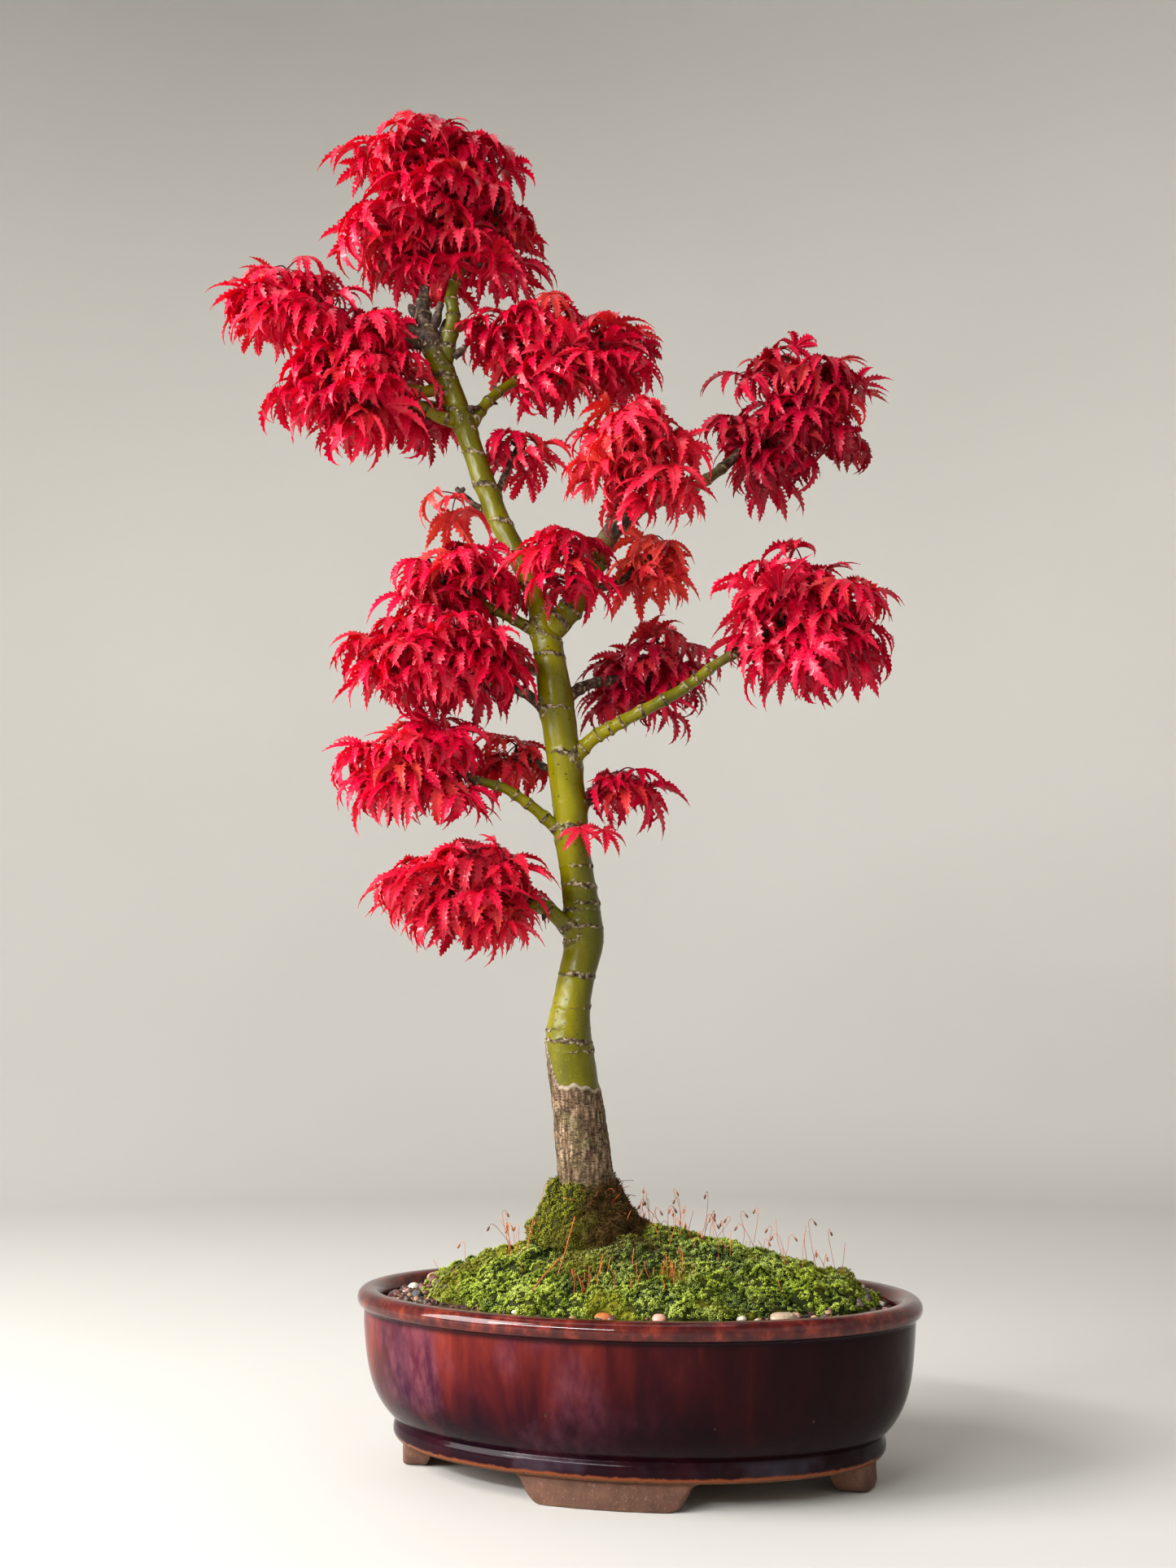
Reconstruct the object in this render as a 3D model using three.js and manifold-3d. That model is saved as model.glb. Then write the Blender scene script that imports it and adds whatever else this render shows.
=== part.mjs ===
// A red Japanese maple, grown as an informal upright bonsai, in an oval glazed pot on four feet.
// Millimetres, +Z up. The pot's long axis lies along X. The tree is laid out in its own front view
// (x across, y away from the viewer, z above the table), which is turned a little from the pot.

import * as THREE from 'three';
import { mergeVertices } from 'three/addons/utils/BufferGeometryUtils.js';
import Module from 'manifold-3d';

const wasm = await Module();
wasm.setup();

// ---------------------------------------------------------------- driving dimensions

const CLEARANCE = 0.3;            // gap between pieces that touch

const POT_LENGTH = 285;           // over the rim
const POT_WIDTH = 196;
const POT_HEIGHT = 86;            // table to the top of the rim
const FOOT_HEIGHT = 13;
const POT_FLOOR = 8;              // thickness of the pot's floor
const POT_WALL = 8;
const BASE_INSET = 20;            // how far the base lies inside the rim, all round
const LIP_HEIGHT = 9;             // the rolled rim
const LIP_WIDTH = 13;
const BASE_BAND = 10;             // the rounded band above the feet
const FOOT_WIDTH = 12;            // across the foot, under the wall
const FRONT_FOOT_LENGTH = 86;
const SIDE_FOOT_LENGTH = 58;
const FOOT_END = 13;              // length of a foot's ogee end
const DRAIN_RADIUS = 12;
const DRAIN_SPACING = 112;        // between the two drain holes
const OVAL_SEGMENTS = 40;

const MESH_SIZE = 2.5 * DRAIN_RADIUS;      // drainage screen
const MESH_THICKNESS = 1.2;
const MESH_PITCH = DRAIN_RADIUS / 2;
const MESH_BAR = 1.5;
const WIRE_RADIUS = 0.75;

const FRONT_TURN = THREE.MathUtils.degToRad(13);   // tree's front, turned from the pot's long side
const TREE_X = -23;               // where the trunk stands, in the front view
const TREE_Y = 5;
const TREE_HEIGHT = 1;            // stretch of the tree above the soil, 1 as grown

const SOIL_RIM_DROP = 6;          // soil at the wall, below the top of the rim
const MOUND_HEIGHT = 36;          // soil at the trunk, above the soil at the wall
const MOUND_SAG = 0.8;            // how hollow the mound's left slope is, 0 for a straight slope
const MOSS_THICKNESS = 6;         // at the edge of a cushion
const MOSS_CROWN = 4;             // more in its middle
const COLLAR_HEIGHT = 22;         // moss that climbs the trunk
const COLLAR_RADIUS = 28;
const PEBBLE_SUNK = 0.35;         // share of a pebble's height that is in the soil

const GRAFT_HEIGHT = 186;         // above the table
const GRAFT_TONGUE = 26;          // rootstock bark that runs up the left side
const TONGUE_SHARE = 0.45;        // of the trunk's radius that the tongue takes

// ---------------------------------------------------------------- solids

function solidFrom(geometry) {
  geometry.deleteAttribute('normal');
  geometry.deleteAttribute('uv');
  const merged = mergeVertices(geometry, 1e-4);
  const vertProperties = new Float32Array(merged.attributes.position.array);
  const triVerts = new Uint32Array(merged.index.array);
  return new wasm.Manifold(new wasm.Mesh({ numProp: 3, vertProperties, triVerts }));
}

function geometryFrom(solid) {
  const { vertProperties, triVerts } = solid.getMesh();
  const geometry = new THREE.BufferGeometry();
  geometry.setAttribute('position', new THREE.BufferAttribute(vertProperties, 3));
  geometry.setIndex(new THREE.BufferAttribute(triVerts, 1));
  return geometry;
}

// Skins a row of closed rings, each with its points counter-clockwise about the way the row runs.
// An open row gets an end cap at each end, and a closed row joins its last ring to its first.
function loft(rings, closed = false) {
  const size = rings[0].length;
  const points = rings.flat();
  const index = [];
  const spans = closed ? rings.length : rings.length - 1;
  for (let i = 0; i < spans; i++) {
    const here = i * size;
    const next = ((i + 1) % rings.length) * size;
    for (let j = 0; j < size; j++) {
      const k = (j + 1) % size;
      index.push(here + j, here + k, next + k, here + j, next + k, next + j);
    }
  }
  if (!closed) {
    const last = (rings.length - 1) * size;
    const caps = [rings[0], rings.at(-1)].map((ring) => {
      points.push(ring.reduce((sum, p) => sum.clone().add(p), new THREE.Vector3()).divideScalar(size));
      return points.length - 1;
    });
    for (let j = 0; j < size; j++) {
      const k = (j + 1) % size;
      index.push(caps[0], k, j, caps[1], last + j, last + k);
    }
  }
  const geometry = new THREE.BufferGeometry().setFromPoints(points);
  geometry.setIndex(index);
  return solidFrom(geometry);
}

// A round bar through the points, with its own radius at each.
function tube(points, radii, sides) {
  const directions = points.map((p, i) => {
    const before = points[Math.max(i - 1, 0)];
    const after = points[Math.min(i + 1, points.length - 1)];
    return after.clone().sub(before).normalize();
  });
  const start = Math.abs(directions[0].x) < 0.9 ? new THREE.Vector3(1, 0, 0) : new THREE.Vector3(0, 1, 0);
  let side = start.sub(directions[0].clone().multiplyScalar(start.dot(directions[0]))).normalize();
  const rings = points.map((p, i) => {
    side = side.clone().sub(directions[i].clone().multiplyScalar(side.dot(directions[i]))).normalize();
    const across = directions[i].clone().cross(side);
    return Array.from({ length: sides }, (_, j) => {
      const angle = (2 * Math.PI * j) / sides;
      return p.clone()
        .addScaledVector(side, radii[i] * Math.cos(angle))
        .addScaledVector(across, radii[i] * Math.sin(angle));
    });
  });
  return loft(rings);
}

const union = (solids) => solids.reduce((whole, next) => whole.add(next));
const cut = (solid, tools) => tools.reduce((whole, tool) => whole.subtract(tool), solid);

// ---------------------------------------------------------------- pot

const halfLength = POT_LENGTH / 2;
const halfWidth = POT_WIDTH / 2;
const baseTop = FOOT_HEIGHT + BASE_BAND;
const floorTop = FOOT_HEIGHT + POT_FLOOR;
const lipBottom = POT_HEIGHT - LIP_HEIGHT;

function ovalPoint(angle, inset, z) {
  return new THREE.Vector3(
    (halfLength - inset) * Math.cos(angle), (halfWidth - inset) * Math.sin(angle), z);
}

function ovalRing([inset, z]) {
  return Array.from({ length: OVAL_SEGMENTS },
    (_, j) => ovalPoint((2 * Math.PI * j) / OVAL_SEGMENTS, inset, z));
}

// The wall leans out from the base, fast at first and then nearly upright under the lip.
const NECK_INSET = 3.5;           // the wall just under the lip
const bodyHeight = lipBottom - baseTop;
const wallInset = (z) => {
  const up = THREE.MathUtils.clamp((z - baseTop) / bodyHeight, 0, 1);
  return NECK_INSET + (BASE_INSET - NECK_INSET) * (0.62 * (1 - up) ** 5 + 0.38 * (1 - up) ** 1.4);
};
const innerWall = (z, gap = 0) => {
  const above = Math.max(z - floorTop, 0) / (lipBottom - floorTop);
  return wallInset(Math.max(z, baseTop)) + POT_WALL + 11 * (1 - Math.min(above, 1)) ** 4 + gap;
};
const lipProfile = [[0.12, 0.11], [0, 0.44], [0.07, 0.8], [0.38, 1], [0.75, 0.94], [1, 0.51]].map(
  ([inwards, up]) => [LIP_WIDTH * inwards, lipBottom + LIP_HEIGHT * up]);
const bandProfile = [[3.4, 0], [0.6, 0.2], [-0.5, 0.7]].map(
  ([inwards, up]) => [BASE_INSET + inwards, FOOT_HEIGHT + BASE_BAND * up]);
const heightsUp = [0, 0.1, 0.26, 0.52, 1].map((up) => baseTop + bodyHeight * up);
const heightsDown = [0.94, 0.6, 0.3, 0.1].map(
  (up) => floorTop + (lipBottom - floorTop) * up);

function footSolid(length, across) {
  const half = length / 2;
  const outline = new THREE.Shape();
  outline.moveTo(-half, FOOT_HEIGHT + 2);
  outline.lineTo(-half, FOOT_HEIGHT - 0.5);
  outline.bezierCurveTo(-half + FOOT_END * 0.5, FOOT_HEIGHT - 2, -half + FOOT_END * 0.25, 2,
    -half + FOOT_END, 0);
  outline.lineTo(half - FOOT_END, 0);
  outline.bezierCurveTo(half - FOOT_END * 0.25, 2, half - FOOT_END * 0.5, FOOT_HEIGHT - 2,
    half, FOOT_HEIGHT - 0.5);
  outline.lineTo(half, FOOT_HEIGHT + 2);
  const prism = new THREE.ExtrudeGeometry(outline,
    { depth: across, bevelEnabled: false, curveSegments: 5 });
  return prism.rotateX(Math.PI / 2);
}

const footOuter = BASE_INSET + 4.5;
const footRing = loft([[footOuter, 0], [footOuter, FOOT_HEIGHT + 1],
  [footOuter + FOOT_WIDTH, FOOT_HEIGHT + 1], [footOuter + FOOT_WIDTH, 0]].map(ovalRing), true);
const footReach = 2 * POT_LENGTH;
const feet = [
  footSolid(FRONT_FOOT_LENGTH, POT_WIDTH),
  footSolid(FRONT_FOOT_LENGTH, POT_WIDTH).translate(0, POT_WIDTH, 0),
  footSolid(SIDE_FOOT_LENGTH, footReach).rotateZ(Math.PI / 2),
  footSolid(SIDE_FOOT_LENGTH, footReach).rotateZ(-Math.PI / 2),
].map((prism) => footRing.intersect(solidFrom(prism)));

const drainHole = (x) => solidFrom(new THREE.CylinderGeometry(DRAIN_RADIUS, DRAIN_RADIUS,
  4 * POT_FLOOR, 20).rotateX(Math.PI / 2).translate(x, 0, floorTop - POT_FLOOR / 2));

const potShell = loft([
  ...bandProfile,
  ...heightsUp.map((z) => [wallInset(z), z]),
  ...lipProfile,
  ...heightsDown.map((z) => [innerWall(z), z]),
  [innerWall(floorTop) + 6, floorTop],
].map(ovalRing));

const drainPlaces = { left: -DRAIN_SPACING / 2, right: DRAIN_SPACING / 2 };
const pot = cut(union([potShell, ...feet]), Object.values(drainPlaces).map(drainHole));

// ---------------------------------------------------------------- drainage screens and their clips

const box = (sizeX, sizeY, sizeZ) => new THREE.BoxGeometry(sizeX, sizeY, sizeZ);

function screenSolid(x, gap = 0) {
  const size = MESH_SIZE + 2 * gap;
  const middle = floorTop + CLEARANCE + MESH_THICKNESS / 2;
  const plate = solidFrom(box(size, size, MESH_THICKNESS + 2 * gap).translate(x, 0, middle));
  const steps = gap > 0 ? [] : [-1.5, -0.5, 0.5, 1.5].map((step) => step * MESH_PITCH);
  const opening = MESH_PITCH - MESH_BAR;
  return cut(plate, steps.flatMap((dx) => steps.map(
    (dy) => solidFrom(box(opening, opening, 2 * MESH_PITCH).translate(x + dx, dy, middle)))));
}

// A staple of soft wire: its bar holds the screen down, its legs go out through the drain hole,
// and its ends turn out under the pot's floor.
function clipSolid(x, gap = 0) {
  const leg = 1.5 * MESH_PITCH;
  const top = floorTop + MESH_THICKNESS + 2 * CLEARANCE + WIRE_RADIUS;
  const bottom = FOOT_HEIGHT - CLEARANCE - WIRE_RADIUS;
  const reach = DRAIN_RADIUS + 5;
  const bend = 1.6;
  const half = [[leg - bend, top], [leg, top - bend], [leg, bottom + bend], [leg + bend, bottom],
    [reach, bottom]];
  const route = [...half.toReversed().map(([dx, z]) => [-dx, z]), ...half];
  const points = route.map(([dx, z]) => new THREE.Vector3(x + dx, MESH_PITCH / 2, z));
  return tube(points, points.map(() => WIRE_RADIUS + gap), 6);
}

// ---------------------------------------------------------------- places in the tree's front view

const soilRim = POT_HEIGHT - SOIL_RIM_DROP;
const turnToPot = (point) => point.applyAxisAngle(new THREE.Vector3(0, 0, 1), FRONT_TURN);
// The trunk's foot, and the soil at the wall, in the lists of points below.
const DRAWN = { x: -23, y: 5, soil: 80 };
const stretch = (z) => soilRim + (z - DRAWN.soil) * TREE_HEIGHT;
const front = (x, y, z) => turnToPot(
  new THREE.Vector3(x - DRAWN.x + TREE_X, y - DRAWN.y + TREE_Y, stretch(z)));
const trunkFoot = turnToPot(new THREE.Vector3(TREE_X, TREE_Y, 0));

// ---------------------------------------------------------------- wood

const WOOD_SIDES = 12;
const BRANCH_SIDES = 8;
const RING_STEP = 17;             // along a branch

// [x, y, z, radius] through the middle of the stem, from the root crown to the top fork.
const STEM = [
  [-22, 5, 96, 21], [-23, 5, 114, 17.5], [-24, 5, 137, 14.6], [-27, 5, 166, 13.1],
  [-31, 4, 194, 12.2], [-33, 3, 212, 11.7], [-31.5, 4, 228, 9.9], [-28.5, 6, 245, 9.7],
  [-25, 7, 260, 10.1], [-26, 6, 276, 9.6], [-30, 3, 304, 8.7], [-33, 0, 333, 9.0],
  [-36, -3, 359, 9.0], [-40.5, -4, 389, 9.0], [-43, -3, 408, 8.2], [-46, -1, 425, 7.4],
  [-49, 0, 440, 6.5], [-57, 2, 461, 6.1], [-71, 4, 489, 5.8], [-79, 5, 509, 6.0],
  [-91, 4, 543, 5.8], [-99, 2, 566, 5.6], [-107, 0, 583, 5.5], [-112, 0, 597, 5.2],
];

const stemPoints = STEM.map(([x, y, z]) => front(x, y, z));
const stemRadii = STEM.map(([, , , radius]) => radius);
const stemSolid = (gap) => tube(stemPoints, stemRadii.map((radius) => radius + gap), WOOD_SIDES);

// Each branch is a list of shoots. A shoot runs through its points, from radius `from` to `to`.
// The first point lies inside the wood that it grows from.
const BRANCHES = {
  branch_first_left: [{ from: 4.6, to: 2.3, route:
    [[-25, 6, 259], [-49, -6, 279], [-60, -12, 275], [-78, -15, 277], [-100, -15, 290]] }],
  branch_second_left: [{ from: 3.6, to: 1.9, route:
    [[-31, 2, 312], [-53, -6, 331], [-66, -10, 339], [-83, -13, 344], [-106, -12, 356]] }],
  branch_low_right: [{ from: 4.2, to: 2.4, route:
    [[-36, -2, 350], [-21, -8, 366], [-5, -13, 375], [26, -18, 391], [44, -20, 404], [88, -22, 430]] }],
  branch_third_left: [{ from: 3.2, to: 1.9, route:
    [[-40, -4, 378], [-57, -10, 391], [-69, -15, 394], [-82, -19, 397], [-102, -20, 412]] }],
  branch_rear_right: [{ from: 3.8, to: 1.9, route:
    [[-40, -3, 384], [-25, 12, 399], [-12, 24, 405], [10, 38, 412], [28, 42, 422]] }],
  branch_fourth_left: [{ from: 3.2, to: 1.7, route:
    [[-47, -1, 424], [-63, -8, 431], [-77, -12, 437], [-90, -14, 446], [-106, -14, 460]] }],
  leader_right: [
    { from: 6.8, to: 5.0, route:
      [[-46, -1, 424], [-30, -3, 441], [-20, -6, 459], [-13, -8, 475], [-1, -10, 491]] },
    { from: 4.4, to: 3.0, route: [[-3, -10, 488], [-7, -16, 503], [0, -26, 518], [4, -30, 536]] },
    { from: 4.6, to: 2.4, route:
      [[-4, -9, 486], [10, -4, 497], [27, 10, 506], [56, 24, 530], [92, 28, 566]] },
    { from: 2.2, to: 1.6, route: [[-24, -5, 449], [-8, 2, 453], [2, 8, 463], [12, 10, 474]] },
    { from: 2.2, to: 1.6, route: [[-27, -4, 445], [-31, -17, 450], [-34, -28, 462]] },
  ],
  branch_upper_left: [{ from: 3.8, to: 2.0, route:
    [[-100, 2, 568], [-114, -5, 560], [-132, -8, 566], [-151, -9, 579], [-182, -10, 608]] }],
  branch_upper_left_under: [{ from: 3.8, to: 1.9, route:
    [[-92, 4, 546], [-106, -3, 547], [-117, -7, 552], [-134, -9, 555], [-152, -8, 566]] }],
  branch_top_left: [{ from: 3.4, to: 1.9, route:
    [[-108, 0, 588], [-117, 2, 591], [-138, 6, 595], [-158, 8, 604]] }],
  branch_upper_right: [{ from: 3.6, to: 1.8, route:
    [[-90, 4, 540], [-79, 7, 559], [-64, 13, 574], [-36, 16, 588], [-8, 15, 598]] }],
  apex_left: [{ from: 5.0, to: 2.2, route:
    [[-109, 0, 589], [-115, 0, 611], [-112, 1, 629], [-118, 2, 656], [-113, 0, 694]] }],
  apex_right: [{ from: 4.4, to: 2.2, route:
    [[-103, 1, 576], [-98, -2, 606], [-99, -3, 618], [-91, -2, 640], [-72, 2, 664]] }],
  branch_back_low: [{ from: 3.4, to: 1.9, route:
    [[-26, 5, 268], [-46, 22, 278], [-66, 36, 284], [-86, 46, 296]] }],
  branch_back_middle: [{ from: 3.4, to: 1.9, route:
    [[-43, -3, 402], [-60, 24, 413], [-82, 42, 422], [-100, 52, 436]] }],
  branch_back_high: [{ from: 3.2, to: 1.8, route:
    [[-95, 3, 554], [-110, 24, 564], [-132, 42, 574], [-150, 52, 592]] }],
  shoot_high_right: [{ from: 2.0, to: 1.4, route: [[-75, 5, 500], [-67, 12, 524], [-62, 18, 538]] }],
  shoot_high_left: [{ from: 1.9, to: 1.4, route: [[-73, 4, 494], [-85, 12, 501], [-96, 15, 512]] }],
  shoot_low_rear: [{ from: 2.2, to: 1.5, route: [[-35, -2, 350], [-47, 14, 355], [-60, 24, 364]] }],
  shoot_low_right: [{ from: 2.0, to: 1.4, route: [[-32, 1, 326], [-18, 8, 338], [-7, 10, 350]] }],
};

function shootSolid({ from, to, route }, gap) {
  const curve = new THREE.CatmullRomCurve3(route.map(([x, y, z]) => front(x, y, z)), false, 'centripetal');
  const steps = Math.max(3, Math.round(curve.getLength() / RING_STEP));
  const points = curve.getSpacedPoints(steps);
  const radii = points.map((_, i) => from + (to - from) * (i / steps) ** 0.7 + gap);
  points.at(-1).addScaledVector(curve.getTangentAt(1), gap);
  return tube(points, radii, BRANCH_SIDES);
}

const branchSolid = (shoots, gap) => union(shoots.map((shoot) => shootSolid(shoot, gap)));

// Main roots: [turn about the trunk in degrees, reach, depth below the root crown].
const ROOTS = [[20, 52, 34], [95, 40, 38], [165, 50, 32], [235, 42, 36], [305, 48, 38]];
const ROOT_RADIUS = 5.5;
const crown = stemPoints[0];

function rootSolid([degrees, reach, depth], gap) {
  const angle = THREE.MathUtils.degToRad(degrees);
  const outward = new THREE.Vector3(Math.cos(angle), Math.sin(angle), 0);
  const points = [0.1, 0.45, 0.75, 1].map((share) => crown.clone()
    .addScaledVector(outward, reach * share)
    .add(new THREE.Vector3(0, 0, 6 - depth * share ** 1.6)));
  return tube(points, [1, 0.8, 0.55, 0.35].map((share) => ROOT_RADIUS * share + gap), BRANCH_SIDES);
}

// The graft: everything below the union is rootstock, and a tongue of it runs up the left side.
function graftTool(gap) {
  const reach = 60;               // further than the stem or a root goes
  const level = stretch(GRAFT_HEIGHT) + gap;
  const bottom = crown.z - reach;
  const block = (x0, x1, z0, z1) => solidFrom(box(x1 - x0, 2 * reach, z1 - z0)
    .translate((x0 + x1) / 2, TREE_Y, (z0 + z1) / 2).rotateZ(FRONT_TURN));
  const [drawnX, , , radius] = STEM[5];
  const stemX = drawnX - DRAWN.x + TREE_X;
  const tongueEdge = stemX - radius * (1 - TONGUE_SHARE) + gap;
  return union([block(stemX - reach, stemX + reach, bottom, level),
    block(stemX - reach, tongueEdge, bottom, level + GRAFT_TONGUE)]);
}

const rootstockSolid = (gap) => union([stemSolid(gap).intersect(graftTool(gap / 2)),
  ...ROOTS.map((root) => rootSolid(root, gap))]);
const trunkSolid = (gap) => stemSolid(gap).subtract(graftTool(CLEARANCE - gap / 2));

// ---------------------------------------------------------------- soil, moss and pebbles

const soilGap = CLEARANCE;
const soilEdge = (angle) => ovalPoint(angle, LIP_WIDTH + soilGap, 0);

// A place on the mound: `angle` round the pot, `share` of the way from the trunk to the wall.
// The mound falls evenly to the right, and sags on the left.
function moundPoint(angle, share, lift) {
  const place = new THREE.Vector3(trunkFoot.x, trunkFoot.y, 0).lerp(soilEdge(angle), share);
  const sag = MOUND_SAG * (1 - Math.cos(angle)) / 2;
  place.z = soilRim + MOUND_HEIGHT * (1 - share) ** (1 + sag) + lift;
  return place;
}

function moundRing(share) {
  return Array.from({ length: OVAL_SEGMENTS },
    (_, j) => moundPoint((2 * Math.PI * j) / OVAL_SEGMENTS, share, 0));
}

const soilBody = loft([
  [innerWall(floorTop) + 6 + soilGap, floorTop + soilGap],
  ...heightsDown.filter((z) => z < soilRim - 6).toReversed().map((z) => [innerWall(z, soilGap), z + soilGap]),
].map(ovalRing).concat([1, 0.75, 0.5, 0.25, 0.08].map(moundRing)));

const MOSS_ROWS = [0, 0.15, 0.5, 0.9, 1];
const MOSS_STEPS = 7;

// A cushion over a sector of the mound. Its top swells between its edges, and its underside
// lies a little below the soil, which is cut away for it.
function mossSolid([from, to, reach], gap) {
  const inner = 0.1;
  const bed = 1.5;
  const rings = Array.from({ length: MOSS_STEPS + 1 }, (_, i) => {
    const along = i / MOSS_STEPS;
    const angle = THREE.MathUtils.degToRad(THREE.MathUtils.lerp(from, to, along));
    const swell = (share) => MOSS_THICKNESS + MOSS_CROWN * Math.sin(Math.PI * share) *
      (0.75 + 0.25 * Math.sin(9 * angle + 5 * share));
    const rounding = 1 - 0.35 * (Math.abs(2 * along - 1)) ** 6;
    const place = (share, lift) => moundPoint(angle, inner + (reach - inner) * share, lift);
    const top = MOSS_ROWS.map((share) => {
      const edge = share === 1 ? 0.35 : 1;
      return place(share, swell(share) * rounding * edge + gap);
    });
    const under = MOSS_ROWS.toReversed().map((share) => place(share, -bed - gap));
    return [...top, ...under];
  });
  return loft(rings);
}

// [from and to, in degrees round the pot, how far it reaches from the trunk to the wall]
const MOSS = {
  moss_front: [-119, -36, 0.9], moss_right: [-34, 42, 0.95],
  moss_back: [44, 136, 0.93], moss_left: [138, 239, 0.82],
};

function collarSolid(gap) {
  const rows = [[1.0, -5], [1.0, 0], [0.84, 0.32], [0.66, 0.66], [0.56, 1], [0.44, 1.12]];
  const base = soilRim + MOUND_HEIGHT;
  return loft(rows.map(([share, up], i) => {
    const z = base + (i === 0 ? -8 - gap : up * COLLAR_HEIGHT + gap);
    const height = THREE.MathUtils.clamp((z - stemPoints[1].z) / (stemPoints[2].z - stemPoints[1].z), 0, 1);
    const middle = stemPoints[1].clone().lerp(stemPoints[2], height);
    return Array.from({ length: 16 }, (_, j) => {
      const angle = (2 * Math.PI * j) / 16;
      const radius = (COLLAR_RADIUS * share + gap) * (1 + 0.05 * Math.sin(3 * angle + i));
      return new THREE.Vector3(middle.x + radius * Math.cos(angle), middle.y + radius * Math.sin(angle), z);
    });
  }));
}

// [angle round the pot in degrees, share of the way to the wall, length, width, height, turn]
const PEBBLES = {
  pebble_tan: [-62, 0.8, 9.5, 7.5, 6.5, 20],
  pebble_amber: [-88, 0.86, 9, 7, 5.5, 10],
  pebble_slate: [-80, 0.82, 10, 6, 5, 35],
  pebble_pink: [-75, 0.87, 7.5, 6.5, 5.5, 10],
  pebble_speckled: [-45, 0.91, 13, 8, 6, 20],
  pebble_grey: [-4, 0.88, 9, 7, 6, 80],
};

function pebbleSolid([degrees, share, length, width, height, turn], gap) {
  const stone = new THREE.IcosahedronGeometry(1, 1);
  stone.scale(length / 2 + gap, width / 2 + gap, height / 2 + gap);
  stone.rotateZ(THREE.MathUtils.degToRad(turn));
  const place = moundPoint(THREE.MathUtils.degToRad(degrees), share, (0.5 - PEBBLE_SUNK) * height);
  return solidFrom(stone.translate(place.x, place.y, place.z));
}

// ---------------------------------------------------------------- foliage

// A pad of leaves is one to three domes: [x, y, z of the widest level, half length, half depth, rise].
const UNDERSIDE = 0.92;           // depth below the widest level, as a share of the rise above it
const FOLIAGE = {
  foliage_crown: [[-113, 0, 694, 41, 40, 36], [-116, -4, 658, 52, 48, 34], [-68, 4, 668, 28, 30, 25],
    [-92, -2, 632, 32, 34, 24]],
  foliage_upper_left: [[-155, 0, 588, 48, 42, 38], [-150, -4, 556, 44, 38, 30]],
  foliage_upper_left_tip: [[-188, -10, 612, 36, 32, 28]],
  foliage_upper_right: [[-60, 12, 597, 37, 38, 32], [-8, 15, 588, 34, 34, 30]],
  foliage_leader_front: [[2, -30, 518, 40, 36, 34], [22, -26, 496, 26, 28, 22]],
  foliage_leader_tip: [[105, 28, 572, 39, 38, 38], [74, 30, 548, 32, 34, 34]],
  foliage_second_tier_left: [[-95, -14, 452, 35, 34, 25]],
  foliage_third_tier_left: [[-99, -22, 410, 48, 42, 30]],
  foliage_low_right: [[90, -20, 428, 53, 46, 45]],
  foliage_rear_right: [[14, 42, 414, 44, 34, 33]],
  foliage_inner_front: [[-34, -31, 456, 22, 20, 26]],
  foliage_inner_right: [[13, 10, 468, 25, 25, 23]],
  foliage_second_left: [[-118, -10, 356, 42, 36, 30]],
  foliage_first_left: [[-89, -15, 288, 51, 44, 34]],
  foliage_high_right: [[-62, 21, 532, 18, 17, 22]],
  foliage_high_left: [[-95, 15, 508, 16, 16, 15]],
  foliage_low_rear: [[-62, 27, 360, 24, 22, 18]],
  foliage_low_right_small: [[-7, 10, 345, 20, 20, 15]],
  foliage_back_low: [[-86, 50, 296, 38, 30, 24]],
  foliage_back_middle: [[-102, 54, 432, 38, 30, 28]],
  foliage_back_high: [[-150, 56, 586, 38, 28, 28]],
};

function domeSolid([x, y, z, halfX, halfY, drawnRise], gap) {
  const rise = drawnRise * TREE_HEIGHT;
  const dome = new THREE.IcosahedronGeometry(1, 1);
  const place = dome.attributes.position;
  for (let i = 0; i < place.count; i++) {
    const up = place.getZ(i);
    place.setZ(i, up * ((up < 0 ? rise * UNDERSIDE : rise) + gap));
  }
  dome.scale(halfX + gap, halfY + gap, 1).rotateZ(FRONT_TURN);
  return solidFrom(dome.translate(...front(x, y, z).toArray()));
}

const padSolid = (domes, gap) => union(domes.map((dome) => domeSolid(dome, gap)));

// ---------------------------------------------------------------- colours

const material = (color, roughness, metalness = 0) =>
  new THREE.MeshStandardMaterial({ color, roughness, metalness });
const LOOKS = {
  glaze: material(0x4a1512, 0.15),
  mesh: material(0x1c1c1e, 0.6),
  wire: material(0xb9bcc0, 0.35, 1),
  soil: material(0x3a2a1e, 0.95),
  moss: material(0x6f9a2a, 0.95),
  collar: material(0x5c6420, 0.95),
  oldBark: material(0x7a6a58, 0.9),
  greenBark: material(0x8a8f1c, 0.45),
  leaf: material(0xc01428, 0.4),
};
const STONES = {
  pebble_tan: 0xc79a6a, pebble_amber: 0x8a4a1e, pebble_slate: 0x1c2436, pebble_pink: 0xc98a80,
  pebble_speckled: 0x9c8470, pebble_grey: 0x8d8d88,
};

// ---------------------------------------------------------------- assembly

const pieces = [];                // { name, solid, look } in the order that they are fitted
const addPiece = (name, solid, look) => pieces.push({ name, solid, look });
const grown = {};                 // the same solids with the clearance all round

addPiece('pot', pot, LOOKS.glaze);
for (const [side, x] of Object.entries(drainPlaces)) {
  addPiece(`drainage_mesh_${side}`, screenSolid(x), LOOKS.mesh);
  addPiece(`mesh_clip_${side}`, clipSolid(x), LOOKS.wire);
}
const hardware = Object.values(drainPlaces).flatMap(
  (x) => [screenSolid(x, CLEARANCE), clipSolid(x, CLEARANCE)]);

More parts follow.
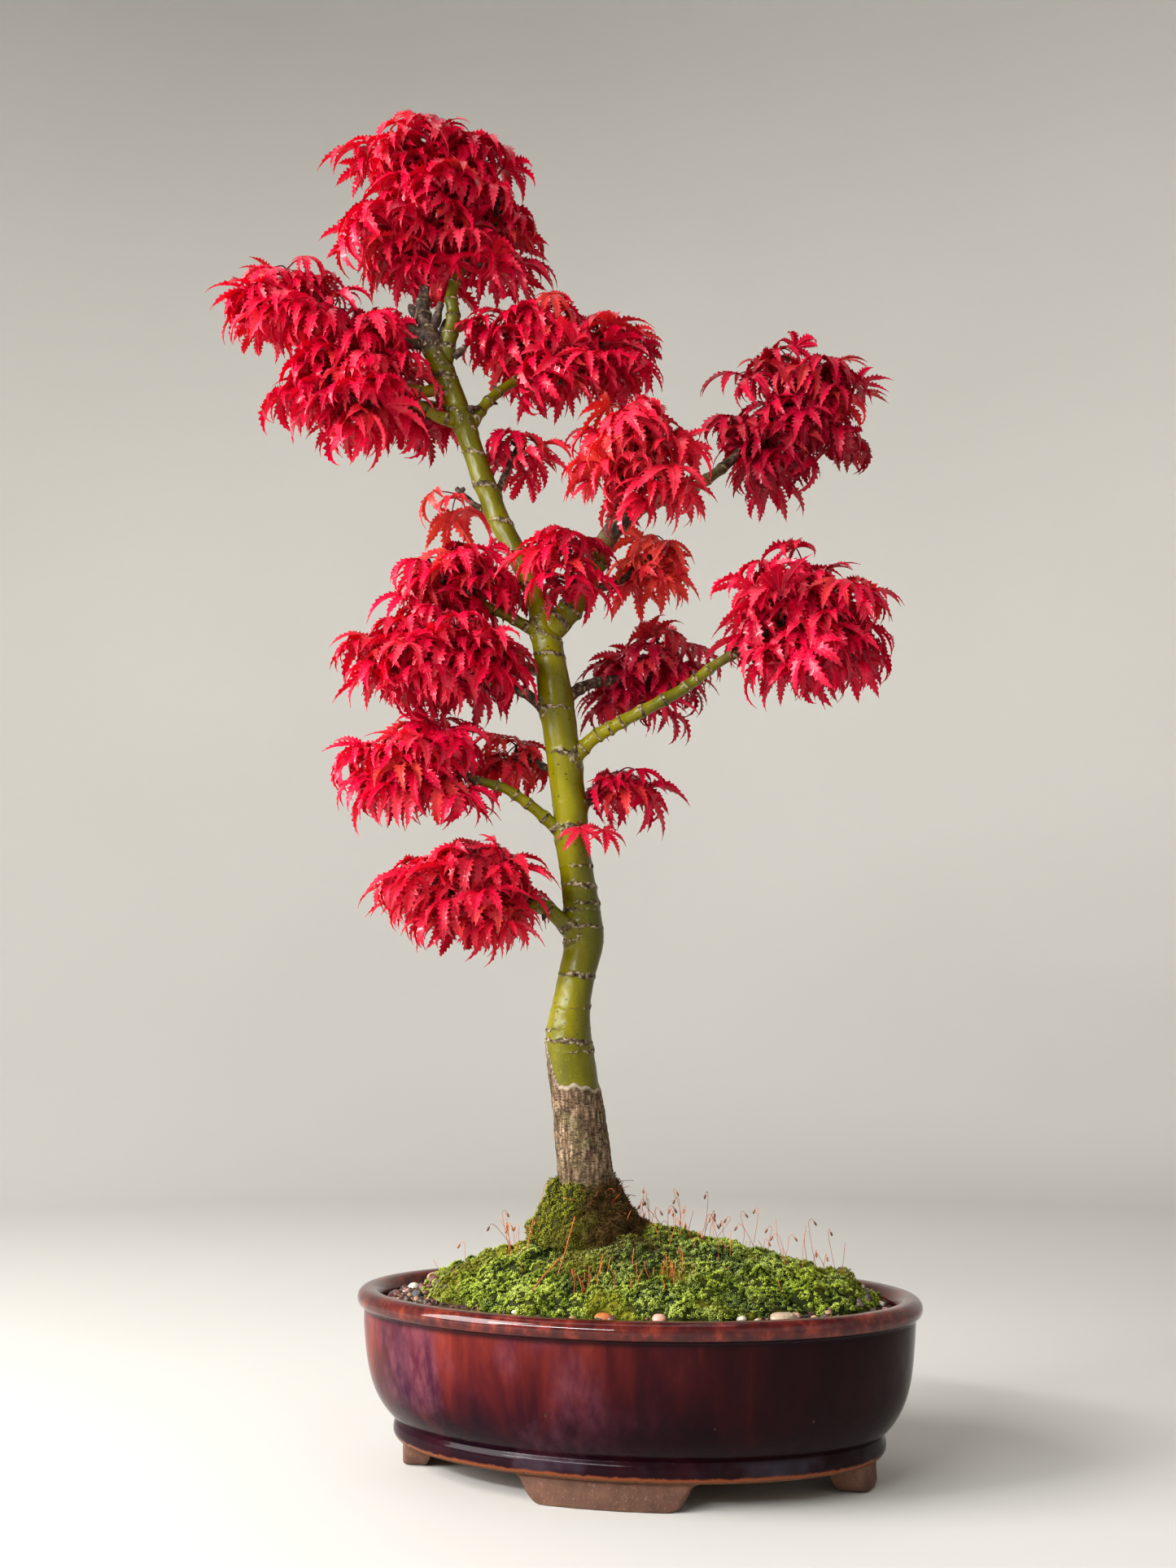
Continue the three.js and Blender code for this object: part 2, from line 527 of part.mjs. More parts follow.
addPiece('rootstock', rootstockSolid(0), LOOKS.oldBark);
addPiece('trunk', trunkSolid(0), LOOKS.greenBark);
grown.rootstock = rootstockSolid(CLEARANCE);
grown.stem = stemSolid(CLEARANCE);

const branchTools = [];
for (const [name, shoots] of Object.entries(BRANCHES)) {
  addPiece(name, cut(branchSolid(shoots, 0), [grown.stem, ...branchTools]), LOOKS.greenBark);
  branchTools.push(branchSolid(shoots, CLEARANCE));
}
const woodTools = [grown.rootstock, grown.stem, ...branchTools];

const pebbleTools = Object.entries(PEBBLES).map(([name, pebble]) => {
  addPiece(name, pebbleSolid(pebble, 0), material(STONES[name], 0.6));
  return pebbleSolid(pebble, CLEARANCE);
});

const mossTools = [collarSolid(CLEARANCE)];
addPiece('moss_collar', cut(collarSolid(0), [grown.rootstock]), LOOKS.collar);
for (const [name, sector] of Object.entries(MOSS)) {
  addPiece(name, cut(mossSolid(sector, 0), [grown.rootstock, ...mossTools, ...pebbleTools]), LOOKS.moss);
  mossTools.push(mossSolid(sector, CLEARANCE));
}
addPiece('soil', cut(soilBody, [...hardware, grown.rootstock, ...pebbleTools, ...mossTools]), LOOKS.soil);

const padTools = [];
for (const [name, domes] of Object.entries(FOLIAGE)) {
  addPiece(name, cut(padSolid(domes, 0), [...woodTools, ...padTools]), LOOKS.leaf);
  padTools.push(padSolid(domes, CLEARANCE));
}

// ---------------------------------------------------------------- scene graph

const bonsai = new THREE.Group();
for (const { name, solid, look } of pieces) {
  const mesh = new THREE.Mesh(geometryFrom(solid), look);
  mesh.name = name;
  bonsai.add(mesh);
}

// The origin is on the table, under the middle of the whole tree and pot.
const middle = new THREE.Box3().setFromObject(bonsai, true).getCenter(new THREE.Vector3());
bonsai.position.set(-middle.x, -middle.y, 0);
bonsai.updateMatrixWorld(true);

export default bonsai;
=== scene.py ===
"""The look of a red Japanese maple bonsai in an oval glazed pot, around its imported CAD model.

Sizes in the constants are in millimetres. The tree's own front view has x across, y away from the
viewer and z above the table; it is turned FRONT_TURN from the pot, as in the CAD source.
"""

import zlib
from math import cos, pi, radians, sin, sqrt

import bmesh
import bpy
import numpy as np
from mathutils import Matrix, Vector
from mathutils.bvhtree import BVHTree


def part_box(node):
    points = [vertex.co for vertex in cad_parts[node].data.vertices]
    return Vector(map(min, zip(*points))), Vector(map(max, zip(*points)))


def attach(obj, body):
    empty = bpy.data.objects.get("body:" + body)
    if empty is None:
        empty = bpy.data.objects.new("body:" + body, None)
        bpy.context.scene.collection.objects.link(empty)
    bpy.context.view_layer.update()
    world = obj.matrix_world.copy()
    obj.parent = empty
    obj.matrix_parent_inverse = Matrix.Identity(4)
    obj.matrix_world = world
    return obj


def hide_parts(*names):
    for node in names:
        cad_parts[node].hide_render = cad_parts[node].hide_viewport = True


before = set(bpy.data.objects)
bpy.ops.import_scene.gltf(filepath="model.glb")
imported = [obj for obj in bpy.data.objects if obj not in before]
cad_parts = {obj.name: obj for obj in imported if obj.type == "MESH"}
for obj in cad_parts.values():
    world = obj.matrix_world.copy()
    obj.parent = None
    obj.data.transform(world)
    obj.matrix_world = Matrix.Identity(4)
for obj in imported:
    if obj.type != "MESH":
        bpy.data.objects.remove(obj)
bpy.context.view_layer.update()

MM = 0.001
FRONT_TURN = radians(13)

pot_low, pot_high = (np.array(corner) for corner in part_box("pot"))
POT_CENTRE = (pot_low + pot_high) / 2
POT_CENTRE[2] = 0
TURN = np.array(Matrix.Rotation(FRONT_TURN, 3, "Z"))


def front(*points):
    """Points of the tree's front view, in millimetres, as points of the row frame in metres."""
    return np.array(points, float).reshape(-1, 3) @ TURN.T * MM + POT_CENTRE


def to_front(points):
    """Points of the row frame, as points of the tree's front view in millimetres."""
    return (np.asarray(points) - POT_CENTRE) @ TURN / MM


def rng_for(name):
    return np.random.default_rng(zlib.crc32(name.encode()))


def unit(vectors):
    vectors = np.asarray(vectors, float)
    return vectors / np.maximum(np.linalg.norm(vectors, axis=-1, keepdims=True), 1e-12)


def ripple(points, size, name, waves=14):
    """Smooth noise from -1 to 1 at points, with features about size across."""
    rng = rng_for(name)
    directions = unit(rng.normal(size=(waves, 3))) * rng.uniform(0.6, 1.5, (waves, 1)) * 2 * pi / size
    phases = rng.uniform(0, 2 * pi, waves)
    return np.clip(np.sin(points @ directions.T + phases).sum(-1) / sqrt(waves), -1.6, 1.6) / 1.6


# ------------------------------------------------------------------------------- building meshes


class Shells:
    """Gathers many small shells into one mesh. Each point has a look and a tint, three numbers
    each, which the materials read."""

    def __init__(self):
        self.points, self.looks, self.tints, self.quads, self.tris = [], [], [], [], []
        self.count = 0

    def add(self, points, quads=(), tris=(), look=(0, 0, 0), tint=(0, 0, 0)):
        points = np.asarray(points, float).reshape(-1, 3)
        for store, value in ((self.looks, look), (self.tints, tint)):
            store.append(np.broadcast_to(np.asarray(value, float), points.shape))
        self.points.append(points)
        for store, faces, corners in ((self.quads, quads, 4), (self.tris, tris, 3)):
            if len(faces):
                store.append(np.asarray(faces, int).reshape(-1, corners) + self.count)
        self.count += len(points)

    def build(self, name, smooth_angle=None):
        points = np.concatenate(self.points)
        groups = [np.concatenate(faces) for faces in (self.quads, self.tris) if faces]
        mesh = bpy.data.meshes.new(name)
        mesh.vertices.add(len(points))
        mesh.vertices.foreach_set("co", points.astype(np.float32).ravel())
        loops = np.concatenate([faces.ravel() for faces in groups])
        mesh.loops.add(len(loops))
        mesh.loops.foreach_set("vertex_index", loops.astype(np.int32))
        sizes = np.concatenate([np.full(len(faces), faces.shape[1]) for faces in groups])
        mesh.polygons.add(len(sizes))
        mesh.polygons.foreach_set("loop_start", (np.cumsum(sizes) - sizes).astype(np.int32))
        mesh.update(calc_edges=True)
        for label, values in (("look", self.looks), ("tint", self.tints)):
            attribute = mesh.attributes.new(label, "FLOAT_VECTOR", "POINT")
            attribute.data.foreach_set("vector", np.concatenate(values).astype(np.float32).ravel())
        mesh.shade_smooth()
        if smooth_angle:
            mesh.set_sharp_from_angle(angle=radians(smooth_angle))
        obj = bpy.data.objects.new(name, mesh)
        bpy.context.collection.objects.link(obj)
        return obj


def place(obj, slot, material, *nodes):
    """obj rides on the tree's one body, and stands for the named CAD nodes."""
    obj.data.materials.clear()
    obj.data.materials.append(material)
    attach(obj, "root")
    if nodes:
        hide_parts(*nodes)
    return obj


def ring_faces(rows, sides):
    """Quads between rows of rings, each with the same number of points."""
    row, side = np.meshgrid(np.arange(rows - 1), np.arange(sides), indexing="ij")
    here, after = row * sides + side, row * sides + (side + 1) % sides
    return np.stack([here, after, after + sides, here + sides], -1).reshape(-1, 4)


def smooth_path(points, count):
    """A path through points, which may hold radii and other values in further columns."""
    points = np.asarray(points, float)
    steps = np.sqrt(np.linalg.norm(np.diff(points[:, :3], axis=0), axis=1))
    knots = np.concatenate([[0], np.cumsum(steps)])
    slopes = np.gradient(points, knots, axis=0)
    t = np.linspace(0, knots[-1], count)
    i = np.clip(np.searchsorted(knots, t, side="right") - 1, 0, len(knots) - 2)
    span = (knots[i + 1] - knots[i])[:, None]
    u = (t - knots[i])[:, None] / span
    return (
        (2 * u**3 - 3 * u**2 + 1) * points[i]
        + (u**3 - 2 * u**2 + u) * span * slopes[i]
        + (3 * u**2 - 2 * u**3) * points[i + 1]
        + (u**3 - u**2) * span * slopes[i + 1]
    )


def rings_along(path, radii, sides):
    """Rings of points round a path. radii has one number for each path point, or one for each of
    its sides as well."""
    tangents = unit(np.gradient(path, axis=0))
    side = np.cross(tangents[0], (0, 0, 1) if abs(tangents[0][2]) < 0.9 else (1, 0, 0))
    sideways = []
    for tangent in tangents:
        side = unit(side - tangent * (side @ tangent))
        sideways.append(side)
    sideways = np.array(sideways)
    across = np.cross(tangents, sideways)
    angles = np.arange(sides) * 2 * pi / sides
    radii = np.asarray(radii, float)
    radii = radii[:, None] if radii.ndim == 1 else radii
    out = sideways[:, None] * np.cos(angles)[:, None] + across[:, None] * np.sin(angles)[:, None]
    return path[:, None] + out * radii[..., None], out


def add_rings(shells, rings, ends, look=(0, 0, 0), tint=(0, 0, 0)):
    """A closed shell over rows of rings. ends are the points in the middle of its two ends, and
    look is one for all points or one for each point of the rings."""
    rows, sides = rings.shape[:2]
    j = np.arange(sides)
    k = (j + 1) % sides
    first, last = rows * sides, (rows - 1) * sides
    tris = np.concatenate([
        np.stack([0 * j + first, k, j], -1),
        np.stack([0 * j + first + 1, last + j, last + k], -1),
    ])
    if np.ndim(look) > 1:
        look = np.reshape(look, (-1, 3))
        look = np.concatenate([look, look[:1], look[-1:]])
    shells.add(np.concatenate([rings.reshape(-1, 3), ends]), ring_faces(rows, sides), tris, look, tint)


def add_tube(shells, path, radii, sides, look=(0, 0, 0), tint=(0, 0, 0)):
    """A closed round bar along path. look is one for all points or one for each of the path's."""
    path = np.asarray(path, float)
    rings, _ = rings_along(path, radii, sides)
    if np.ndim(look) > 1:
        look = np.repeat(look, sides, 0)
    add_rings(shells, rings, path[[0, -1]], look, tint)


def sphere(detail):
    """Points and triangles of a unit icosphere."""
    made = bmesh.new()
    bmesh.ops.create_icosphere(made, subdivisions=detail, radius=1)
    made.verts.index_update()
    points = np.array([vertex.co for vertex in made.verts])
    tris = np.array([[vertex.index for vertex in face.verts] for face in made.faces])
    made.free()
    return points, tris


def points_of(obj):
    mesh = obj.data
    points = np.empty(len(mesh.vertices) * 3, np.float32)
    mesh.vertices.foreach_get("co", points)
    return points.reshape(-1, 3).astype(float)


def triangles_of(obj):
    mesh = obj.data
    mesh.calc_loop_triangles()
    tris = np.empty(len(mesh.loop_triangles) * 3, np.int32)
    mesh.loop_triangles.foreach_get("vertices", tris)
    return tris.reshape(-1, 3)


def crosses(points, tris):
    """Each triangle's normal, as long as twice its area."""
    a, b, c = (points[tris[:, i]] for i in range(3))
    return np.cross(b - a, c - a)


def scatter(points, tris, count, rng, lowest=-2):
    """Random points on a surface, spread by area, with the surface's normals there. They keep to
    where the upward part of its normal is more than lowest."""
    a, b, c = (points[tris[:, i]] for i in range(3))
    cross = crosses(points, tris)
    normals = unit(cross)
    area = np.linalg.norm(cross, axis=1) / 2 * (normals[:, 2] > lowest)
    pick = rng.choice(len(tris), count, p=area / area.sum())
    u, v = rng.random((2, count, 1))
    flip = u + v > 1
    u, v = np.where(flip, 1 - u, u), np.where(flip, 1 - v, v)
    return a[pick] + u * (b - a)[pick] + v * (c - a)[pick], normals[pick]


def spread(points, gap):
    """Indices of points, taken in order, that keep at least gap from those taken before."""
    taken = []
    for i, point in enumerate(points):
        if not taken or (np.linalg.norm(points[taken] - point, axis=1) > gap).all():
            taken.append(i)
    return taken


# ------------------------------------------------------------------------------------- materials


def srgb(red, green, blue):
    """A colour as it is seen, 0 to 255, as the linear colour that a shader takes."""
    c = np.array([red, green, blue]) / 255
    return (*np.where(c <= 0.04045, c / 12.92, ((c + 0.055) / 1.055) ** 2.4), 1)


class Finish:
    """A node material, built up from the short calls below."""

    def __init__(self, name, **uniform):
        self.material = bpy.data.materials.new(name)
        self.material.use_nodes = True
        self.tree = self.material.node_tree
        self.shader = self.tree.nodes["Principled BSDF"]
        self.output = self.tree.nodes["Material Output"]
        for label, value in uniform.items():
            title = label.replace("_", " ").title().replace("Ior", "IOR")
            self.shader.inputs[title].default_value = value
        self.place = self.node("ShaderNodeTexCoord").outputs["Object"]

    def node(self, kind, inputs=(), **settings):
        made = self.tree.nodes.new(kind)
        for label, value in settings.items():
            setattr(made, label, value)
        for label, value in dict(inputs).items():
            self.feed(made.inputs[label], value)
        return made

    def feed(self, socket, value):
        if isinstance(value, bpy.types.NodeSocket):
            self.tree.links.new(value, socket)
        else:
            socket.default_value = value

    def set(self, label, value):
        self.feed(self.shader.inputs[label], value)

    def stretched(self, scale):
        return self.node("ShaderNodeMapping", {"Vector": self.place, "Scale": scale}).outputs[0]

    def noise(self, size, detail=3, stretch=(1, 1, 1), roughness=0.55, distortion=0):
        """Noise with features about size millimetres across, 0 to 1."""
        return self.node("ShaderNodeTexNoise", {
            "Vector": self.stretched(stretch), "Scale": 1 / (size * MM), "Detail": detail,
            "Roughness": roughness, "Distortion": distortion,
        }).outputs["Fac"]

    def cells(self, size, stretch=(1, 1, 1)):
        """Distance from the middle of cells about size millimetres across."""
        return self.node("ShaderNodeTexVoronoi", {
            "Vector": self.stretched(stretch), "Scale": 1 / (size * MM),
        }).outputs["Distance"]

    def attribute(self, label, axis):
        vector = self.node("ShaderNodeAttribute", attribute_name=label).outputs["Vector"]
        return self.node("ShaderNodeSeparateXYZ", {0: vector}).outputs[axis]

    def axis(self, axis, turn=0):
        """A coordinate in metres, along an axis that is turned about Z."""
        place = self.place
        if turn:
            centre = Matrix.Rotation(-turn, 3, "Z") @ Vector(POT_CENTRE)
            place = self.node("ShaderNodeMapping", {
                "Vector": place, "Location": tuple(-centre), "Rotation": (0, 0, -turn)}).outputs[0]
        return self.node("ShaderNodeSeparateXYZ", {0: place}).outputs[axis]

    def math(self, operation, a, b=0.0):
        return self.node("ShaderNodeMath", {0: a, 1: b}, operation=operation).outputs[0]

    def plus(self, a, b):
        return self.math("ADD", a, b)

    def times(self, a, b):
        return self.math("MULTIPLY", a, b)

    def vary(self, value, change, amount, middle=0.5):
        """value, raised and lowered by amount as change goes above and below its middle."""
        return self.plus(value, self.times(self.math("SUBTRACT", change, middle), amount))

    def span(self, value, low, high, start=0.0, end=1.0):
        """value from low to high, as a number from start to end, and no further."""
        return self.node("ShaderNodeMapRange", {
            "Value": value, "From Min": low, "From Max": high, "To Min": start, "To Max": end,
        }, interpolation_type="SMOOTHSTEP").outputs[0]

    def ramp(self, value, *stops):
        """A colour for each value. A stop is a position and a colour, or a position and the three
        numbers of a colour as it is seen."""
        made = self.node("ShaderNodeValToRGB", {"Fac": value})
        elements = made.color_ramp.elements
        while len(elements) < len(stops):
            elements.new(0.5)
        for element, (position, *colour) in zip(elements, stops):
            element.position = position
            element.color = srgb(*colour) if len(colour) == 3 else colour[0]
        return made.outputs["Color"]

    def mix(self, share, a, b):
        """Colour a, with share of it changed for colour b."""
        made = self.node("ShaderNodeMix", data_type="RGBA")
        for socket, value in ((made.inputs[0], share), (made.inputs[6], a), (made.inputs[7], b)):
            self.feed(socket, value)
        return made.outputs[2]

    def bump(self, height, depth, before=None):
        """Relief of depth millimetres."""
        inputs = {"Height": height, "Distance": depth * MM, "Strength": 1.0}
        if before is not None:
            inputs["Normal"] = before
        normal = self.node("ShaderNodeBump", inputs).outputs[0]
        self.set("Normal", normal)
        return normal


def glaze_finish():
    """A run red glaze: orange streaks from the rim, purple haze, near black towards the foot."""
    f = Finish("flambe_glaze", roughness=0.16, specular_ior_level=0.05, coat_roughness=0.04)
    height = f.axis(2)
    across = f.axis(0, FRONT_TURN)
    streaks = f.noise(19, 5, (1, 1, 0.15), 0.58, 0.3)
    clouds = f.noise(44, 4, (1, 1, 0.7), 0.6)
    flecks = f.noise(6, 4, (1, 1, 0.45), 0.65)
    left = f.span(across, 0.105, -0.12)

    # It ran thin and red high up, most of all on the left.
    heat = f.times(f.span(height, 0.020, 0.076), f.span(left, 0, 1, 0.25, 1.0))
    level = f.vary(f.vary(streaks, heat, 0.30, 0.45), flecks, 0.12)
    body = f.ramp(level, (0.28, 24, 5, 12), (0.42, 50, 10, 18), (0.54, 72, 17, 19), (0.70, 106, 34, 26),
                  (0.90, 138, 58, 42))
    haze = f.ramp(flecks, (0.35, 56, 20, 44), (0.65, 104, 58, 70))
    body = f.mix(f.times(f.span(clouds, 0.46, 0.66), f.span(left, 0.2, 0.9, 0.1, 0.7)), body, haze)

    # It pooled dark low down, with grey clouds on the base bead. The right side is painted shade,
    # darkened towards near black.
    low = f.times(f.span(height, 0.052, 0.022), f.span(clouds, 0.35, 0.6, 0.85, 0.5))
    body = f.mix(low, body, srgb(24, 8, 18))
    body = f.mix(f.span(across, -0.10, 0.09, 0, 0.9), body, srgb(18, 4, 6))
    bead = f.times(f.span(height, 0.0245, 0.0205), f.span(clouds, 0.50, 0.66, 0, 0.6))
    body = f.mix(bead, body, srgb(48, 46, 54))

    # The lip is mottled, over a dark line of painted shadow under its overhang.
    lip = f.ramp(f.noise(8, 3), (0.38, 54, 16, 16), (0.54, 82, 26, 21), (0.72, 126, 48, 32))
    body = f.mix(f.span(height, 0.0770, 0.0790), body, lip)
    line = f.times(f.span(height, 0.0788, 0.0772), f.span(height, 0.0735, 0.0765, 0, 0.8))
    body = f.mix(line, body, srgb(20, 6, 12))
    pits = f.span(f.cells(26), 0.045, 0.03)
    body = f.mix(pits, body, srgb(60, 34, 24))

    # It ends in an orange edge, above bare clay.
    edge = f.vary(height, flecks, 0.003)
    body = f.mix(f.span(edge, 0.0166, 0.0152), body, srgb(128, 66, 38))
    bare = f.span(edge, 0.0149, 0.0143)
    clay = f.ramp(f.noise(1.6, 4), (0.3, 80, 52, 38), (0.6, 108, 72, 52))
    f.set("Base Color", f.mix(bare, body, clay))
    rough = f.ramp(clouds, (0.3, (0.10, 0.10, 0.10, 1)), (0.7, (0.24, 0.24, 0.24, 1)))
    f.set("Roughness", f.mix(bare, rough, (0.8, 0.8, 0.8, 1)))
    f.set("Coat Weight", f.times(f.span(bare, 1, 0), f.span(height, 0.0760, 0.0790, 0.05, 0.6)))
    soft = f.bump(f.noise(13, 2), 0.30)
    f.bump(f.times(pits, -1.0), 0.3, soft)
    return f.material


def clay_finish():
    f = Finish("bare_clay", roughness=0.88)
    grain, stain = f.noise(1.3, 5), f.noise(16, 3)
    colour = f.ramp(stain, (0.3, 70, 43, 31), (0.55, 94, 60, 44), (0.75, 114, 80, 62))
    colour = f.mix(f.span(grain, 0.55, 0.75, 0, 0.4), colour, srgb(150, 118, 94))
    colour = f.mix(f.span(f.cells(2.6), 0.2, 0.1, 0, 0.8), colour, srgb(84, 54, 40))
    worn = f.times(f.span(f.axis(2), 0.0035, 0.0), f.span(stain, 0.3, 0.7, 0.2, 0.8))
    f.set("Base Color", f.mix(worn, colour, srgb(96, 66, 48)))
    f.bump(grain, 0.25)
    return f.material


def old_bark_finish():
    """Rough grey-brown bark. look: lip of the graft, height along, damp foot."""
    f = Finish("rootstock_bark", roughness=0.95, specular_ior_level=0.2)
    fibres = f.noise(2.2, 6, (1, 1, 0.22), 0.7)
    cracks = f.noise(1.5, 5, (0.55, 0.55, 1.7), 0.65)
    patches = f.noise(15, 3)
    colour = f.ramp(fibres, (0.34, 38, 27, 18), (0.49, 98, 77, 56), (0.64, 172, 148, 120))
    colour = f.mix(f.span(patches, 0.45, 0.7, 0, 0.35), colour, srgb(150, 112, 92))
    colour = f.mix(f.span(patches, 0.5, 0.3, 0, 0.4), colour, srgb(112, 108, 62))
    colour = f.mix(f.span(cracks, 0.52, 0.38, 0, 0.85), colour, srgb(36, 26, 19))
    colour = f.mix(f.attribute("look", 2), colour, srgb(58, 46, 32))
    colour = f.mix(f.attribute("look", 0), colour, srgb(186, 172, 148))
    f.set("Base Color", colour)
    first = f.bump(fibres, 1.1)
    f.bump(cracks, 0.8, first)
    return f.material


def green_bark_finish():
    """Smooth young bark. look: node ring, brown and knobbly, a duller green with painted shade."""
    f = Finish("green_bark", roughness=0.34, specular_ior_level=0.20, coat_weight=0.07,
               coat_roughness=0.15)
    ring, brown, olive_and_shade = (f.attribute("look", axis) for axis in range(3))
    tone = f.noise(26, 3, (1, 1, 0.4))
    fine = f.noise(2.4, 4)
    skin = f.noise(0.9, 3, (1, 1, 0.5))
    colour = f.ramp(tone, (0.34, 70, 69, 0), (0.5, 102, 96, 0), (0.66, 130, 121, 0))
    colour = f.mix(f.span(skin, 0.55, 0.75, 0, 0.25), colour, srgb(168, 164, 44))
    # A duller green, and painted shade on the right side of the stem.
    colour = f.mix(olive_and_shade, colour, srgb(62, 58, 4))
    specks = f.span(f.cells(5.2, (1, 1, 1.9)), 0.17, 0.11)
    thin = f.times(specks, f.span(tone, 0.42, 0.56, 0.15, 0.95))
    colour = f.mix(thin, colour, srgb(56, 48, 22))
    cork = f.ramp(fine, (0.36, 28, 20, 13), (0.50, 84, 69, 48), (0.64, 164, 148, 116))
    woody = f.ramp(fine, (0.36, 34, 25, 21), (0.55, 72, 54, 44), (0.72, 118, 96, 76))
    colour = f.mix(f.span(brown, 0.25, 0.75), colour, woody)
    level = f.vary(ring, fine, 0.9)
    corky = f.span(level, 0.40, 0.60)
    f.set("Base Color", f.mix(corky, colour, cork))
    rough = f.math("MAXIMUM", f.span(corky, 0, 1, 0.32, 0.9), f.span(brown, 0, 1, 0.32, 0.8))
    f.set("Roughness", rough)
    first = f.bump(f.times(corky, fine), 0.9)
    second = f.bump(f.times(specks, -1.0), 0.12, first)
    f.bump(f.noise(1.2, 3), 0.05, second)
    return f.material


def leaf_finish():
    """look: across a lobe, along it, leaf's own tone. tint: painted shade low in the pad and over some
    pads, orange tone that is partly painted glow of light through the leaf, stalk.
    """
    f = Finish("red_leaf", roughness=0.36, specular_ior_level=0.25, coat_weight=0.38,
               coat_roughness=0.09)
    across, along, tone = (f.attribute("look", axis) for axis in range(3))
    depth, warm_and_glow, stalk = (f.attribute("tint", axis) for axis in range(3))
    blotch = f.noise(7, 3)
    level = f.vary(tone, blotch, 0.6)
    colour = f.ramp(level, (0.1, 178, 0, 46), (0.45, 228, 2, 62), (0.75, 244, 16, 72),
                    (1.0, 252, 70, 96))
    side = f.math("ABSOLUTE", across)
    colour = f.mix(f.span(side, 0.12, 0.02, 0, 0.3), colour, srgb(244, 84, 92))
    veins = f.math("SINE", f.plus(f.times(along, 62.0), f.times(side, -9.0)))
    colour = f.mix(f.span(veins, 0.8, 1.0, 0, 0.2), colour, srgb(156, 0, 26))
    colour = f.mix(f.span(side, 0.8, 1.0, 0, 0.3), colour, srgb(140, 0, 30))
    # Orange tone: partly the leaves' own colour, partly painted glow of light coming through them.
    colour = f.mix(f.times(warm_and_glow, f.span(blotch, 0.3, 0.7, 0.5, 1.0)), colour, srgb(240, 92, 62))
    # Painted shade: darker low in a pad and in the pads given painted shade.
    colour = f.mix(f.span(depth, 0, 1, 0, 0.55), colour, srgb(112, 0, 24))
    colour = f.mix(stalk, colour, srgb(120, 20, 34))
    f.set("Base Color", colour)
    ridge = f.plus(f.times(veins, 0.25), f.span(side, 0.0, 0.25))
    f.bump(f.plus(ridge, f.times(blotch, 0.6)), 0.22)
    glow = f.node("ShaderNodeBsdfTranslucent", {"Color": f.mix(0.35, colour, srgb(255, 36, 48))})
    both = f.node("ShaderNodeMixShader", {0: 0.36, 1: f.shader.outputs[0], 2: glow.outputs[0]})
    f.tree.links.new(both.outputs[0], f.output.inputs["Surface"])
    return f.material


def moss_finish(name, dark, middle, light, tip, dull):
    """look: height up a shoot, which sets painted shade low down, its own tone, and dryness with some
    painted shade.
    """
    f = Finish(name, roughness=0.75, specular_ior_level=0.15)
    up, tone, dry = (f.attribute("look", axis) for axis in range(3))
    patch = f.noise(20, 3)
    level = f.vary(tone, patch, 0.9)
    colour = f.ramp(level, (0.15, dark), (0.5, middle), (0.85, light))
    # Painted shade: darker low on each shoot and over the ground between the tufts.
    colour = f.mix(f.span(up, 0.25, 0.92, 0.96, 0), colour, srgb(12, 15, 2))
    colour = f.mix(f.span(f.noise(34, 2), 0.50, 0.64, 0, 0.6), colour, dull)
    colour = f.mix(f.times(f.span(up, 0.7, 1.0), f.span(patch, 0.4, 0.62, 0.15, 0.75)), colour, tip)
    colour = f.mix(f.times(dry, f.span(up, 0, 1, 0.55, 1)), colour, srgb(96, 68, 34))
    f.set("Base Color", colour)
    f.bump(f.noise(1.0, 3), 0.4)
    return f.material


def grain_finish(name, roughness, *stops, vein=None):
    """A stone or soil grain. look: the grain's own shade."""
    f = Finish(name, roughness=roughness)
    own = f.attribute("look", 0)
    speck = f.noise(1.4, 4)
    level = f.vary(own, speck, 0.35)
    colour = f.ramp(level, *stops)
    if vein:
        colour = f.mix(f.span(f.noise(4.5, 5, roughness=0.7), 0.55, 0.66, 0, 0.8), colour, vein)
    f.set("Base Color", colour)
    f.bump(speck, 0.3)
    return f.material


def stalk_finish():
    """Moss stalks and their capsules. look: height up the stalk, its own tone, capsule."""
    f = Finish("moss_stalks", roughness=0.5)
    up, tone, capsule = (f.attribute("look", axis) for axis in range(3))
    colour = f.ramp(f.plus(tone, f.times(up, 0.3)),
                    (0.1, 84, 26, 14), (0.6, 164, 66, 18), (1.0, 206, 112, 34))
    capsules = f.ramp(tone, (0.2, 84, 30, 20), (0.8, 164, 90, 52))
    f.set("Base Color", f.mix(capsule, colour, capsules))
    f.bump(f.noise(0.8, 2), 0.08)
    return f.material


def plastic_finish():
    f = Finish("mesh_plastic", roughness=0.55)
    f.set("Base Color", f.ramp(f.noise(3, 4), (0.3, 22, 22, 24), (0.7, 44, 44, 46)))
    f.bump(f.noise(0.7, 3), 0.05)
    return f.material


def wire_finish():
    f = Finish("clip_wire", metallic=1.0)
    dull = f.noise(2.5, 4)
    f.set("Base Color", f.ramp(dull, (0.3, 150, 152, 156), (0.7, 206, 208, 212)))
    f.set("Roughness", f.span(dull, 0.3, 0.7, 0.25, 0.5))
    return f.material


# ------------------------------------------------------------------------------------------- pot

FOOT_HEIGHT = 13
FOOT_WIDTH = 12
FOOT_END = 13
FOOT_INSET = 24.5
FRONT_FOOT_LENGTH = 86
SIDE_FOOT_LENGTH = 58
BASE_INSET = 20
NECK_INSET = 3.5
CREASE_HEIGHT = 23.4
LIP_HEIGHT = 9
LIP_WIDTH = 13
FLOOR_TOP = 21
WALL = 8
DRAIN_RADIUS = 12
DRAIN_SPACING = 112
POT_SIDES = 288

